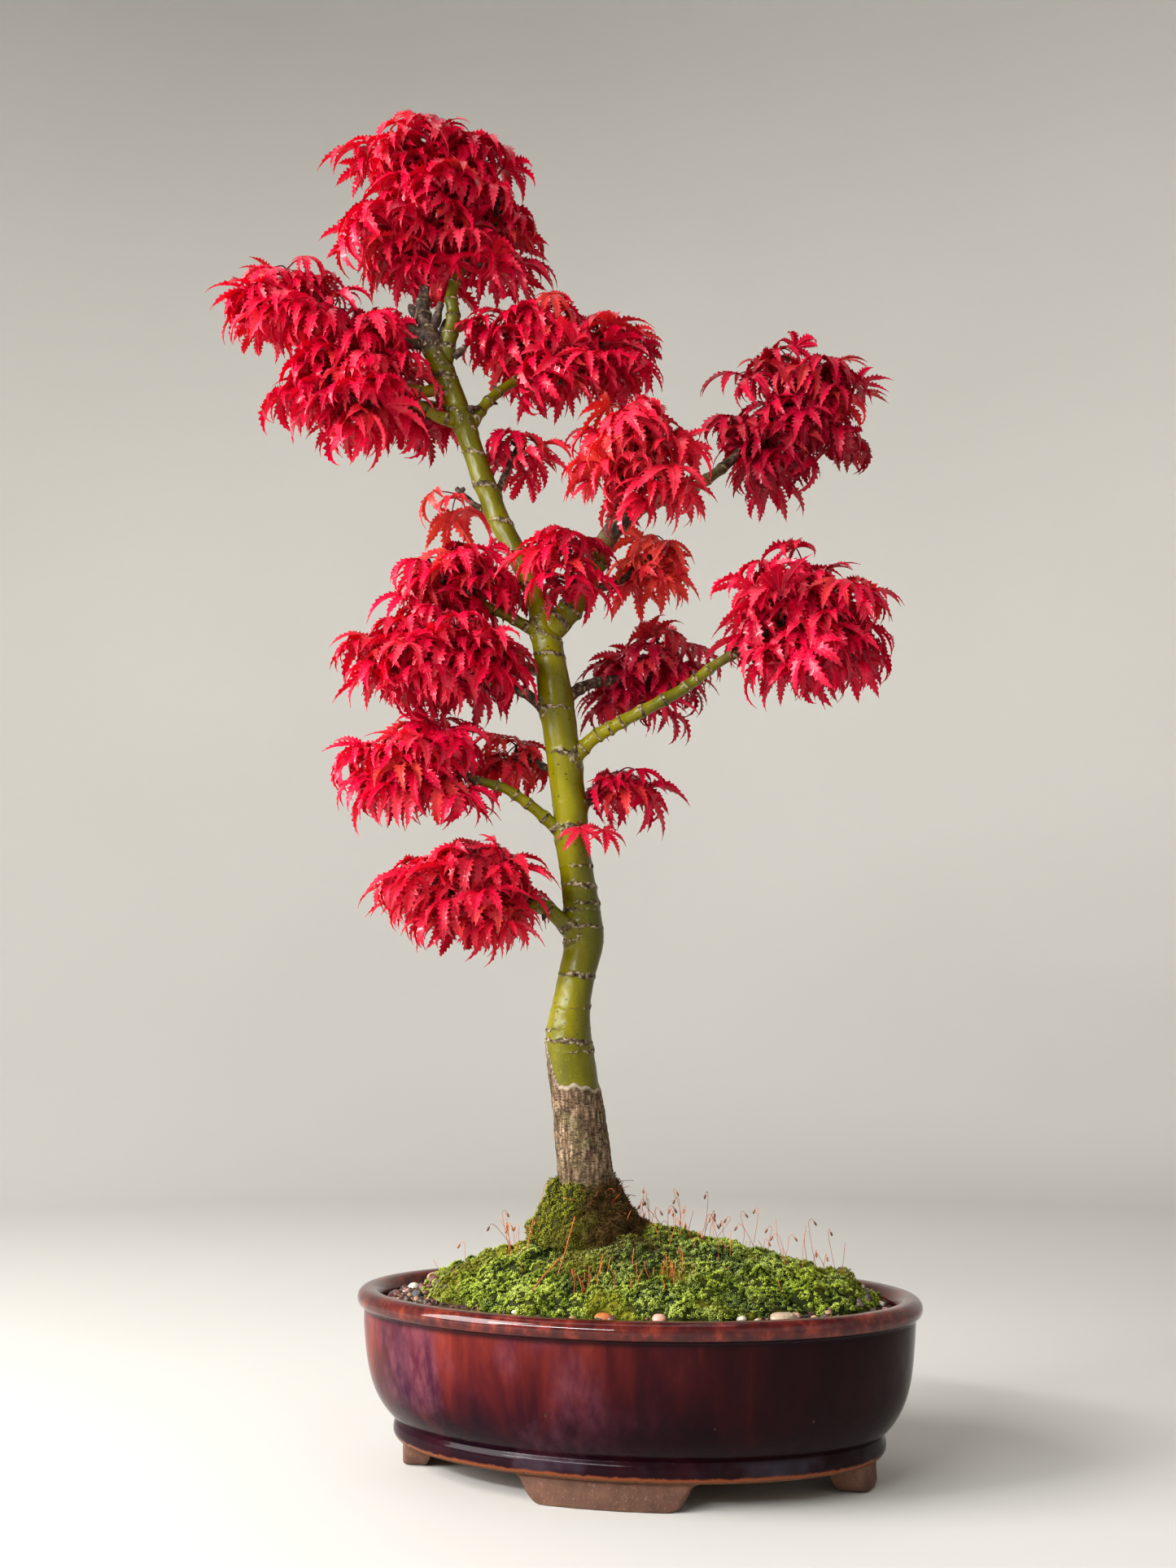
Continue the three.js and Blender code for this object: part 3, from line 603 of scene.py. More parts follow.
half_length, half_width = (pot_high - pot_low)[:2] / 2 / MM
rim_top = pot_high[2] / MM
lip_bottom = rim_top - LIP_HEIGHT


def oval(insets, heights, angles):
    """Points round the pot, in the row frame: one row for each inset and height."""
    insets, heights = (np.asarray(v, float)[:, None] for v in (insets, heights))
    x = (half_length - insets) * np.cos(angles)
    y = (half_width - insets) * np.sin(angles)
    return np.stack([x, y, heights + 0 * x], -1) * MM + POT_CENTRE


def wall_inset(z):
    up = np.clip((z - CREASE_HEIGHT) / (lip_bottom - CREASE_HEIGHT), 0, 1)
    return NECK_INSET + (BASE_INSET - NECK_INSET) * (0.62 * (1 - up) ** 5 + 0.38 * (1 - up) ** 1.4)


def pot_body():
    """The turned body: rings of an (inset, height) profile, from the foot over the lip to the floor
    inside, with the drain holes cut out."""
    bead = [(23.4, 13.0), (22.2, 13.2), (20.7, 14.4), (19.6, 16.4), (19.4, 18.6), (19.9, 21.0),
            (20.7, 22.6)]
    wall = [(wall_inset(z), z) for z in np.linspace(CREASE_HEIGHT, lip_bottom - 0.8, 30)]
    lip = [(2.6, 77.3), (1.2, 77.9), (0.3, 79.4), (0.0, 81.2), (0.35, 83.0), (1.5, 84.7), (3.4, 85.8),
           (5.4, 86.0), (8.2, 85.7), (10.6, 84.5), (12.3, 82.4), (12.9, 80.0)]
    inner = [(wall_inset(z) + WALL + 11 * (1 - (z - FLOOR_TOP) / (lip_bottom - FLOOR_TOP)) ** 4, z)
             for z in np.linspace(76, FLOOR_TOP + 0.5, 14)]
    inner.append((inner[-1][0] + 6, FLOOR_TOP))
    profile = np.array(bead + wall + lip + inner)
    fine = smooth_path(np.column_stack([profile, 0 * profile[:, :1]]), 170)[:, :2]
    fine[:, 0] = np.maximum(fine[:, 0], 0)
    fine[:, 1] = np.clip(fine[:, 1], FOOT_HEIGHT, rim_top)
    angles = np.arange(POT_SIDES) * 2 * pi / POT_SIDES
    rings = oval(*fine.T, angles)
    points = rings.reshape(-1, 3)
    outward = unit((points - POT_CENTRE) * (1, 1, 0))
    middle = np.clip((points[:, 2] / MM - 24) / 8, 0, 1) * np.clip((76 - points[:, 2] / MM) / 6, 0, 1)
    points = points + outward * (middle * 0.35 * MM * ripple(points, 0.06, "thrown"))[:, None]
    shells = Shells()
    centres = POT_CENTRE + np.array([(0, 0, FOOT_HEIGHT), (0, 0, FLOOR_TOP)]) * MM
    add_rings(shells, points.reshape(rings.shape), centres)
    body = shells.build("pot_body")
    for side in (-1, 1):
        drill = Shells()
        axis = POT_CENTRE + np.array([side * DRAIN_SPACING / 2, 0, 0]) * MM
        add_tube(drill, axis + np.array([(0, 0, 6), (0, 0, 30)]) * MM, [DRAIN_RADIUS * MM] * 2, 48)
        tool = drill.build("drill")
        cut = body.modifiers.new("drain", "BOOLEAN")
        cut.object = tool
        cut.solver = "EXACT"
        bake_modifiers(body)
        bpy.data.objects.remove(tool)
    body.data.set_sharp_from_angle(angle=radians(50))
    return body


def bake_modifiers(obj):
    bpy.context.view_layer.update()
    shaped = bpy.data.meshes.new_from_object(obj.evaluated_get(bpy.context.evaluated_depsgraph_get()))
    obj.modifiers.clear()
    obj.data = shaped


def ogee(length):
    """The outline of a foot's sole, from end to end: (along, height)."""
    half = length / 2
    t = np.linspace(0, 1, 14)[:, None]
    corners = np.array([(half - FOOT_END, 0), (half - FOOT_END * 0.25, 2),
                        (half - FOOT_END * 0.5, FOOT_HEIGHT - 2), (half, FOOT_HEIGHT - 0.5)])
    weights = ((1 - t) ** 3, 3 * t * (1 - t) ** 2, 3 * t**2 * (1 - t), t**3)
    end = sum(corner * weight for corner, weight in zip(corners, weights))
    flat = np.column_stack([np.linspace(-half + FOOT_END, half - FOOT_END, 40)[1:-1], np.zeros(38)])
    return np.concatenate([end[::-1] * (-1, 1), flat, end])


def pot_feet():
    shells = Shells()
    for length, turned, side in ((FRONT_FOOT_LENGTH, 0, -1), (FRONT_FOOT_LENGTH, 0, 1),
                                 (SIDE_FOOT_LENGTH, 1, -1), (SIDE_FOOT_LENGTH, 1, 1)):
        long_half, short_half = (half_width, half_length) if turned else (half_length, half_width)
        top = FOOT_HEIGHT + 1
        rings = []
        for along, low in ogee(length):
            bevel = min(1.3, (top - low) * 0.4)
            section = [(0, top), (0, (top + low) / 2), (0, low + bevel),
                       (0.3 * bevel, low + 0.3 * bevel), (bevel, low)]
            section += [(FOOT_WIDTH * share, low) for share in (0.3, 0.5, 0.7)]
            section += [(FOOT_WIDTH - inset, z) for inset, z in section[4::-1]]
            ring = []
            for inset, z in section:
                reach = (short_half - FOOT_INSET - inset) * sqrt(
                    1 - (along / (long_half - FOOT_INSET - inset)) ** 2)
                ring.append((side * reach, along, z) if turned else (along, side * reach, z))
            rings.append(ring)
        points = np.array(rings).reshape(-1, 3) * MM + POT_CENTRE
        sides = len(rings[0])
        above = np.clip(points[:, 2] / MM, 0, 1)[:, None]
        wear = np.stack([ripple(points, 0.007, f"wear{i}") for i in range(3)], -1) * 0.35 * MM
        points = points + wear * above
        points[:, 2] = np.maximum(points[:, 2], 0)
        faces = ring_faces(len(rings), sides)
        last = (len(rings) - 1) * sides
        fan = np.array([(0, i, i + 1) for i in range(1, sides - 1)])
        caps = np.concatenate([fan[:, ::-1], last + fan])
        if turned == (side > 0):
            faces, caps = faces[:, ::-1], caps[:, ::-1]
        shells.add(points, faces, caps)
    return shells.build("pot_feet", 40)


place(pot_body(), "pot_glaze", glaze_finish(), "pot")
place(pot_feet(), "pot_glaze", clay_finish(), "pot")

for nodes, finish in ((("drainage_mesh_left", "drainage_mesh_right"), plastic_finish()),
                      (("mesh_clip_left", "mesh_clip_right"), wire_finish())):
    for node in nodes:
        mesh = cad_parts[node].data
        mesh.materials.clear()
        mesh.materials.append(finish)

# ------------------------------------------------------------------------------------------ wood

# (x, y, z, radius) up the middle of the stem, as in the CAD source.
STEM = [
    (-22, 5, 96, 21), (-23, 5, 114, 17.5), (-24, 5, 137, 14.6), (-27, 5, 166, 13.1),
    (-31, 4, 194, 12.2), (-33, 3, 212, 11.7), (-31.5, 4, 228, 9.9), (-28.5, 6, 245, 9.7),
    (-25, 7, 260, 10.1), (-26, 6, 276, 9.6), (-30, 3, 304, 8.7), (-33, 0, 333, 9.0),
    (-36, -3, 359, 9.0), (-40.5, -4, 389, 9.0), (-43, -3, 408, 8.2), (-46, -1, 425, 7.4),
    (-49, 0, 440, 6.5), (-57, 2, 461, 6.1), (-71, 4, 489, 5.8), (-79, 5, 509, 6.0),
    (-91, 4, 543, 5.8), (-99, 2, 566, 5.6), (-107, 0, 583, 5.5), (-112, 0, 597, 5.2),
]
GRAFT_HEIGHT = 186
GRAFT_TONGUE = 26
BUTTRESS_TOP = 150
STEM_ROWS = 760
STEM_SIDES = 96
# (direction in degrees, reach, depth)
ROOTS = ((20, 52, 34), (95, 40, 38), (165, 50, 32), (235, 42, 36), (305, 48, 38))
# Cut stubs: (x, z, lean from upright in radians, length).
STUBS = ((-112, 594, -0.9, 15), (-104, 590, 0.1, 17), (-117, 604, -0.5, 12), (-97, 582, 0.9, 9),
         (-108, 600, 0.3, 14), (-89, 552, 1.3, 7), (-56, 470, 1.4, 6), (-52, 452, -1.4, 5))
# Heights of the rings that old buds left on the stem.
NODE_RINGS = (204, 209, 215, 226, 243, 260, 268, 276, 281, 290, 300, 320, 333, 359, 382, 412, 427,
              451, 472, 489, 509, 528, 552, 571, 590)

# Shoots: the branch each is part of, the pad it carries, its radius at the start and at the tip, its
# darkness, and its route.
SHOOTS = (
    ("branch_first_left", "foliage_first_left", 4.6, 2.3, 0.15, (-25, 6, 259), (-49, -6, 279),
     (-60, -12, 275), (-78, -15, 277), (-100, -15, 290)),
    ("branch_second_left", "foliage_second_left", 3.6, 1.9, 0.15, (-31, 2, 312), (-53, -6, 331),
     (-66, -10, 339), (-83, -13, 344), (-106, -12, 356)),
    ("branch_low_right", "foliage_low_right", 4.2, 2.4, 0.0, (-36, -2, 350), (-21, -8, 366),
     (-5, -13, 375), (26, -18, 391), (44, -20, 404), (88, -22, 430)),
    ("branch_third_left", "foliage_third_tier_left", 3.2, 1.9, 0.7, (-40, -4, 378),
     (-57, -10, 391), (-69, -15, 394), (-82, -19, 397), (-102, -20, 412)),
    ("branch_rear_right", "foliage_rear_right", 3.8, 1.9, 0.9, (-40, -3, 384), (-25, 12, 399),
     (-12, 24, 405), (10, 38, 412), (28, 42, 422)),
    ("branch_fourth_left", "foliage_second_tier_left", 3.2, 1.7, 0.3, (-47, -1, 424),
     (-63, -8, 431), (-77, -12, 437), (-90, -14, 446), (-106, -14, 460)),
    ("leader_right", "", 6.8, 5.0, 0.1, (-46, -1, 424), (-30, -3, 441), (-20, -6, 459),
     (-13, -8, 475), (-1, -10, 491)),
    ("leader_right", "foliage_leader_front", 4.4, 3.0, 0.7, (-3, -10, 488), (-7, -16, 503),
     (0, -26, 518), (4, -30, 536)),
    ("leader_right", "foliage_leader_tip", 4.6, 2.4, 0.4, (-4, -9, 486), (10, -4, 497),
     (27, 10, 506), (56, 24, 530), (92, 28, 566)),
    ("leader_right", "foliage_inner_right", 2.2, 1.6, 1.0, (-24, -5, 449), (-8, 2, 453),
     (2, 8, 463), (12, 10, 474)),
    ("leader_right", "foliage_inner_front", 2.2, 1.6, 0.9, (-27, -4, 445), (-31, -17, 450),
     (-34, -28, 462)),
    ("branch_upper_left", "foliage_upper_left_tip", 3.8, 2.0, 0.25, (-100, 2, 568),
     (-114, -5, 560), (-132, -8, 566), (-151, -9, 579), (-182, -10, 608)),
    ("branch_upper_left_under", "foliage_upper_left", 3.8, 1.9, 0.2, (-92, 4, 546),
     (-106, -3, 547), (-117, -7, 552), (-134, -9, 555), (-152, -8, 566)),
    ("branch_top_left", "", 3.4, 1.9, 0.6, (-108, 0, 588), (-117, 2, 591), (-138, 6, 595),
     (-158, 8, 604)),
    ("branch_upper_right", "foliage_upper_right", 3.6, 1.8, 0.2, (-90, 4, 540), (-79, 7, 559),
     (-64, 13, 574), (-36, 16, 588), (-8, 15, 598)),
    ("apex_left", "foliage_crown", 5.0, 2.2, 0.95, (-109, 0, 589), (-115, 0, 611), (-112, 1, 629),
     (-118, 2, 656), (-113, 0, 694)),
    ("apex_right", "", 4.4, 2.2, 0.3, (-103, 1, 576), (-98, -2, 606), (-99, -3, 618),
     (-91, -2, 640), (-72, 2, 664)),
    ("branch_back_low", "foliage_back_low", 3.4, 1.9, 0.3, (-26, 5, 268), (-46, 22, 278),
     (-66, 36, 284), (-86, 46, 296)),
    ("branch_back_middle", "foliage_back_middle", 3.4, 1.9, 0.4, (-43, -3, 402), (-60, 24, 413),
     (-82, 42, 422), (-100, 52, 436)),
    ("branch_back_high", "foliage_back_high", 3.2, 1.8, 0.4, (-95, 3, 554), (-110, 24, 564),
     (-132, 42, 574), (-150, 52, 592)),
    ("shoot_high_right", "foliage_high_right", 2.0, 1.4, 0.9, (-75, 5, 500), (-67, 12, 524),
     (-62, 18, 538)),
    ("shoot_high_left", "foliage_high_left", 1.9, 1.4, 0.9, (-73, 4, 494), (-85, 12, 501),
     (-96, 15, 512)),
    ("shoot_low_rear", "foliage_low_rear", 2.2, 1.5, 0.8, (-35, -2, 350), (-47, 14, 355),
     (-60, 24, 364)),
    ("shoot_low_right", "foliage_low_right_small", 2.0, 1.4, 0.8, (-32, 1, 326), (-18, 8, 338),
     (-7, 10, 350)),
)
BRANCHES = {}
for branch, pad, start, end, dark, *route in SHOOTS:
    BRANCHES.setdefault(branch, []).append((start, end, dark, route, pad))
# Other branches that the twigs of a pad may grow from.
MORE_LIMBS = {"foliage_crown": ["apex_right"],
              "foliage_upper_left": ["branch_top_left", "branch_upper_left"]}
BRANCH_STEP = 0.9                 # along a branch, between its rings
BRANCH_SIDES = 24
TWIG_SIDES = 7

stem = smooth_path(STEM, STEM_ROWS)
stem_path = front(*stem[:, :3])
stem_radius = stem[:, 3]


def stem_surface(rows):
    """Rings round part of the stem: the points, the way out, and each point's height and angle
    in the front view, 0 to the right and 90 degrees away from the viewer."""
    path = stem_path[rows]
    rings, out = rings_along(path, stem_radius[rows] * MM, STEM_SIDES)
    height = to_front(rings)[..., 2]
    angle = np.arctan2(*(np.moveaxis(out @ TURN, -1, 0)[[1, 0]]))
    return rings, out, height, angle


def graft_line(angle):
    """Height of the graft round the stem. A tongue of the rootstock runs up the left side."""
    leftness = np.clip((-np.cos(angle + 0.35) - 0.30) / 0.62, 0, 1)
    return (GRAFT_HEIGHT + GRAFT_TONGUE * leftness**1.1
            + 1.2 * np.sin(3 * angle) + 0.7 * np.sin(11 * angle))


def stem_shell(shells, rings, *look):
    """The closed shell of a stretch of stem. look is three numbers for each point of the rings."""
    add_rings(shells, rings, rings[[0, -1]].mean(1), np.stack(look, -1))


def rootstock_piece():
    """The foot of the stem under the graft, in fissured bark, with its buttresses and roots."""
    rows = stem[:, 2] < GRAFT_HEIGHT + GRAFT_TONGUE + 5
    rings, out, height, angle = stem_surface(rows)
    line = graft_line(angle)
    above = np.clip((height - line) / 1.2, 0, 1)
    fissures = np.abs(ripple(rings * (1, 1, 0.28), 0.0045, "bark_fissures")) * -0.55
    rungs = ripple(rings * (0.5, 0.5, 1.6), 0.004, "bark_rungs") * 0.22
    foot = np.clip((BUTTRESS_TOP - height) / 50, 0, 1) ** 1.5
    buttress = foot * (1.2 * np.sin(5 * angle + 1) + 0.7 * np.sin(3 * angle))
    lift = 0.55 + (fissures + rungs) + buttress + 0.5 * ripple(rings, 0.02, "bark_lumps")
    lift = lift * (1 - above) - 1.6 * above
    lip = np.clip(1 - np.abs(height - line + 0.8) / 1.3, 0, 1) * 0.9
    damp = np.clip((BUTTRESS_TOP - height) / 22, 0, 1) * 0.7
    rings = rings + out * (lift * MM)[..., None]
    shells = Shells()
    stem_shell(shells, rings, lip, height / 200, damp)
    crown = STEM[0]
    for degrees, reach, depth in ROOTS:
        turn = radians(degrees) - FRONT_TURN
        shares = np.array([0.1, 0.45, 0.75, 1])
        route = np.column_stack([
            crown[0] + cos(turn) * reach * shares, crown[1] + sin(turn) * reach * shares,
            crown[2] + 6 - depth * shares**1.6, 5.5 * np.array([1, 0.8, 0.55, 0.35])])
        fine = smooth_path(route, 40)
        wave = 1 + 0.12 * ripple(fine[:, :3], 12, f"root{degrees}")
        add_tube(shells, front(*fine[:, :3]), fine[:, 3] * wave * MM, 16, (0, 0, 0.9))
    return place(shells.build("rootstock_wood"), "rootstock_bark", old_bark_finish(), "rootstock")


def ring_marks(height, angle, where):
    """How strongly the rings show at each height and angle: each is a broken, wavy, corky line
    that is widest on one side of the stem."""
    rng = rng_for("ring_marks")
    mark = np.zeros_like(height)
    for ring in where:
        phase, reach, tall = rng.uniform(0, 2 * pi), rng.uniform(0.2, 1.0), rng.uniform(1.0, 2.6)
        wave = (0.8 * np.sin(angle + phase) + 0.35 * np.sin(5 * angle + 2 * phase)
                + 0.3 * np.sin(11 * angle + phase))
        widest = np.clip(0.5 + 0.5 * np.cos(angle - phase), 0, 1) ** 1.5
        patchy = np.clip(0.5 + 0.35 * np.sin(3 * angle + phase) + 0.3 * np.sin(7 * angle - phase), 0, 1)
        thick = 0.55 + tall * widest * (0.4 + 0.6 * patchy)
        strength = 0.30 + 0.70 * np.clip(widest + 0.5 * patchy * reach, 0, 1)
        mark = np.maximum(mark, strength * np.exp(-((height - ring - wave) / thick) ** 2))
    return mark


def trunk_piece(bark):
    """The green stem above the graft, swollen and marked where branches grow, with cut stubs."""
    rows = stem[:, 2] > GRAFT_HEIGHT - 5
    rings, out, height, angle = stem_surface(rows)
    below = np.clip((graft_line(angle) - height) / 1.2, 0, 1)
    marks = ring_marks(height, angle, NODE_RINGS)
    knots = np.zeros_like(height)
    for shoots in BRANCHES.values():
        start = np.array(shoots[0][3][0], float)
        toward = np.array(shoots[0][3][1], float) - start
        seat = start + toward / np.linalg.norm(toward) * np.interp(start[2], stem[:, 2], stem_radius)
        away = np.linalg.norm(to_front(rings) - seat, axis=-1)
        swell = shoots[0][0] * 1.7
        knots = np.maximum(knots, np.exp(-(away / swell) ** 2))
        marks = np.maximum(marks, 0.55 * np.exp(-((away - swell * 0.95) / 2.0) ** 2))
    lift = 0.30 * ripple(rings, 0.03, "trunk_lumps") + 0.10 * ripple(rings, 0.008, "trunk_skin")
    lift = lift + marks * (0.55 + 0.35 * ripple(rings, 0.0022, "cork")) + knots * 1.3
    lift = lift * (1 - below) - 2.0 * below
    # Painted shade: the right side of the stem, away from the light, is duller and darker.
    painted_shade = 0.6 * np.clip(np.cos(angle - 0.25) + 0.25 + 0.3 * ripple(rings, 0.03, "shade"), 0, 1)
    olive_and_shade = np.clip(np.clip((height - 560) / 40, 0, 0.5) + painted_shade, 0, 1)
    brown = np.clip((height - 578) / 14, 0, 0.9)
    rings = rings + out * (lift * MM)[..., None]
    shells = Shells()
    stem_shell(shells, rings, marks, brown, olive_and_shade)
    rng = rng_for("stubs")
    for x, z, lean, length in STUBS:
        way = unit(np.array([sin(lean), rng.uniform(-0.5, 0.4), cos(lean)]))
        along = np.linspace(0, 1, 16)[:, None]
        path = np.array([x, -1, z]) + along * way * length
        knob = (2.9 - 1.0 * along[:, 0]) * (1 + 0.14 * np.sin(along[:, 0] * 9 + x)) * min(1, length / 11)
        knob[-2:] *= (0.85, 0.5)
        add_tube(shells, front(*path), knob * MM, 12, (0.2, 1, 0.6))
    return place(shells.build("trunk_wood"), "green_bark", bark, "trunk")


def limb_rows(shoot):
    """Along a shoot: points, share of the way, length of the way, and radius."""
    start, end, _, route, _ = shoot
    length = np.linalg.norm(np.diff(np.array(route, float), axis=0), axis=1).sum()
    fine = smooth_path(route, max(24, int(length / BRANCH_STEP)))
    along = np.linspace(0, 1, len(fine))
    return fine, along, length, start + (end - start) * along**0.7


def limb_samples(shoot):
    """Rows of x, y, z, radius and share of the way, in the front view."""
    fine, along, _, radius = limb_rows(shoot)
    return np.column_stack([fine, radius, along])


def add_limb(shells, name, shoot):
    """A branch with its base collar, the rings of old buds, and a browner end."""
    rng = rng_for(name)
    dark = shoot[2]
    fine, along, length, radius = limb_rows(shoot)
    wobble = np.cumsum(rng.normal(size=(len(fine), 3)), axis=0)
    wobble = wobble - wobble[:1] - along[:, None] * (wobble[-1] - wobble[0])
    fine = fine + wobble * 0.035
    distance = along * length
    nodes = np.cumsum(rng.uniform(8, 15, 14)) + 9
    swell, mark = np.zeros(len(fine)), np.zeros(len(fine))
    for node in nodes[nodes < length]:
        swell = np.maximum(swell, np.exp(-((distance - node) / 1.9) ** 2))
        mark = np.maximum(mark, np.exp(-((distance - node) / 0.9) ** 2))
        if rng.random() < 0.75:
            row = int(np.searchsorted(distance, node))
            way = unit(rng.normal(size=3))
            bud = fine[min(row, len(fine) - 1)] + np.linspace(0, 1, 7)[:, None] * way * radius[row] * 1.9
            thick = radius[row] * 0.5 * np.array([1, 1, 0.95, 0.9, 0.8, 0.5, 0.1])
            add_tube(shells, front(*bud), thick * MM, 8, (0.2, 0.9, 0.5))
    collar = np.exp(-((distance - 8) / 6) ** 2)
    drift = 0.05 * rng.normal(size=len(fine)).cumsum() / 12
    radius = radius * (1 + 0.22 * swell + 0.18 * collar + drift)
    mark = np.maximum(mark, np.exp(-((distance - 11) / 1.6) ** 2))
    brown = np.clip(dark + 0.9 * np.clip((along - 0.55) / 0.4, 0, 1), 0, 1)
    look = np.column_stack([mark * 0.95, brown, np.full(len(fine), 0.35 * dark + 0.1)])
    add_tube(shells, front(*fine), radius * MM, BRANCH_SIDES, look)


wood_samples = np.concatenate([stem] + [
    limb_samples(shoot)[:, :4] for shoots in BRANCHES.values() for shoot in shoots])

# ---------------------------------------------------------------------------------------- leaves

# (angle from the middle lobe in degrees, length as a share of it)
LOBES = ((-118, 0.40), (-79, 0.72), (-39, 0.93), (0, 1.0), (39, 0.93), (79, 0.72), (118, 0.40))
TEETH = 10
TIP_TRIES = 1200                  # points on a pad that its tips are picked from
TIP_GAP = 13.5                    # between the tips of a pad's twigs
LEAF_REACH = 16.5                 # of the leaves round the tip of a twig
LEAF_HANG = 14
LEAF_LENGTH = (21, 32)
LEAF_DROOP = (0.9, 2.2)           # how far a leaf bends down along its length, in radians
HALF_WIDTH = 0.108                # of a lobe, as a share of its length
# How much painted shade darkens the leaves of each of these pads.
PAINTED_SHADE_PADS = {"foliage_leader_tip": 0.45, "foliage_rear_right": 0.55, "foliage_low_right_small": 0.3,
             "foliage_back_low": 0.3, "foliage_back_middle": 0.3, "foliage_back_high": 0.3}
# How orange the leaves of each pad are: partly their own colour, partly painted glow of light through
# them.
WARM_AND_GLOW_PADS = {"foliage_high_left": 0.75, "foliage_inner_right": 0.7, "foliage_low_rear": 0.3,
             "foliage_first_left": 0.12, "foliage_leader_front": 0.15}

# Tips of twigs that hang low or stand high at the outline of a pad, in the front view.
MORE_TIPS = {
    "foliage_crown": [(-140, 0, 705), (-127, -12, 708), (-112, 8, 712), (-96, -10, 709), (-83, 4, 702),
                      (-78, -6, 636), (-69, 6, 641)],
    "foliage_upper_left": [(-124, 12, 553), (-137, -14, 553), (-112, 21, 557)],
    "foliage_upper_right": [(-75, 12, 602)],
    "foliage_leader_tip": [(72, 22, 586), (90, 24, 593), (112, 26, 586)],
    "foliage_second_left": [(-112, -16, 341), (-95, -18, 338)],
    "foliage_first_left": [(-74, -20, 275), (-92, -18, 279)],
}

# Leaves in front of the trunk: root of the stalk, base, facing, way it points, length.
SINGLES = {
    "hanging_a": ((-28, -7, 322), (-27, -13, 318), (0.1, -0.75, 0.6), (0.25, -0.2, -1), 19),
    "hanging_b": ((-26, -6, 320), (-15, -12, 317), (0.35, -0.6, 0.6), (0.6, -0.1, -1), 18),
}
GROUP_POINTS = 90000              # a piece of leaves holds no more than this, to keep it light

steps = np.arange(TEETH)
lobe_along = np.concatenate([np.column_stack([steps / TEETH, (steps + 0.8) / TEETH]).ravel(), [1]])
lobe_tooth = np.concatenate([np.tile((0.72, 1.28), TEETH), [0]])
lobe_envelope = 4.54 * lobe_along**0.9 * (1 - lobe_along) ** 1.35
lobe_width = np.maximum(lobe_envelope * lobe_tooth, 0.03)
lobe_width[0], lobe_width[-1] = 0.45, 0.01
ROW = len(lobe_along)
SECTION = np.array([-1, 0, 1, 0])     # across a lobe: edge, midrib, edge, and the keel below
lobe_faces = ring_faces(ROW, 4)[:, ::-1]
lobe_caps = np.array([(0, 1, 2), (0, 2, 3)])
lobe_caps = np.concatenate([lobe_caps, (ROW - 1) * 4 + lobe_caps[:, ::-1]])


def add_leaf(shells, base, normal, forward, length, rng, tone, tint, droop):
    """One palmate leaf: arched, saw-edged lobes that spread from its base."""
    right = np.cross(forward, normal)
    lift = rng.uniform(-0.1, 0.3)
    for degrees, share in LOBES:
        if abs(degrees) > 100 and rng.random() < 0.25:
            continue
        size = length * share * rng.uniform(0.88, 1.1)
        turn = radians(degrees + rng.uniform(-7, 7))
        bend = droop * rng.uniform(0.75, 1.25) * (0.8 + 0.35 * share)
        fine = np.linspace(0, 1, 33)
        slope = lift - bend * fine**1.15
        out = np.concatenate([[0], np.cumsum(np.cos(slope[:-1]))]) / 32
        up = np.concatenate([[0], np.cumsum(np.sin(slope[:-1]))]) / 32
        out, up, slope = (np.interp(lobe_along, fine, values) for values in (out, up, slope))
        fold = rng.uniform(0.2, 0.75)
        width = lobe_width * HALF_WIDTH * rng.uniform(0.9, 1.2) * size
        curve = rng.uniform(-0.16, 0.16) * lobe_along**2 * size
        sideways = curve[:, None] + width[:, None] * SECTION
        height = width[:, None] * np.array([fold, 0, fold, 0])
        height[:, 3] -= 0.22
        waves = 0.10 * width * np.sin(lobe_along * 19 + rng.uniform(0, 6))
        height[:, 0] += waves
        height[:, 2] -= waves
        outward = forward * cos(turn) + right * sin(turn)
        beside = right * cos(turn) - forward * sin(turn)
        above = normal * np.cos(slope)[:, None] - outward * np.sin(slope)[:, None]
        points = (
            (out * size)[:, None, None] * outward + (up * size)[:, None, None] * normal
            + sideways[..., None] * beside + height[..., None] * above[:, None]
        )
        look = np.stack([np.broadcast_to(SECTION, sideways.shape),
                         np.broadcast_to(lobe_along[:, None], sideways.shape),
                         np.full(sideways.shape, tone)], -1)
        points = front(*(base + points).reshape(-1, 3))
        shells.add(points, lobe_faces, lobe_caps, look.reshape(-1, 3), tint)


def add_stalk(shells, start, end, rng, radius, tint):
    """A thin stalk that leaves start and arches to end."""
    arch = np.array([0, 0, 0.12]) * np.linalg.norm(end - start)
    middle = (start + end) / 2 + arch + rng.normal(size=3) * 0.6
    path = smooth_path(np.array([start, middle, end]), 9)
    radii = np.linspace(radius * 1.15, radius * 0.8, len(path))
    add_tube(shells, front(*path), radii * MM, 5, (0, 0, 0.4), tint)


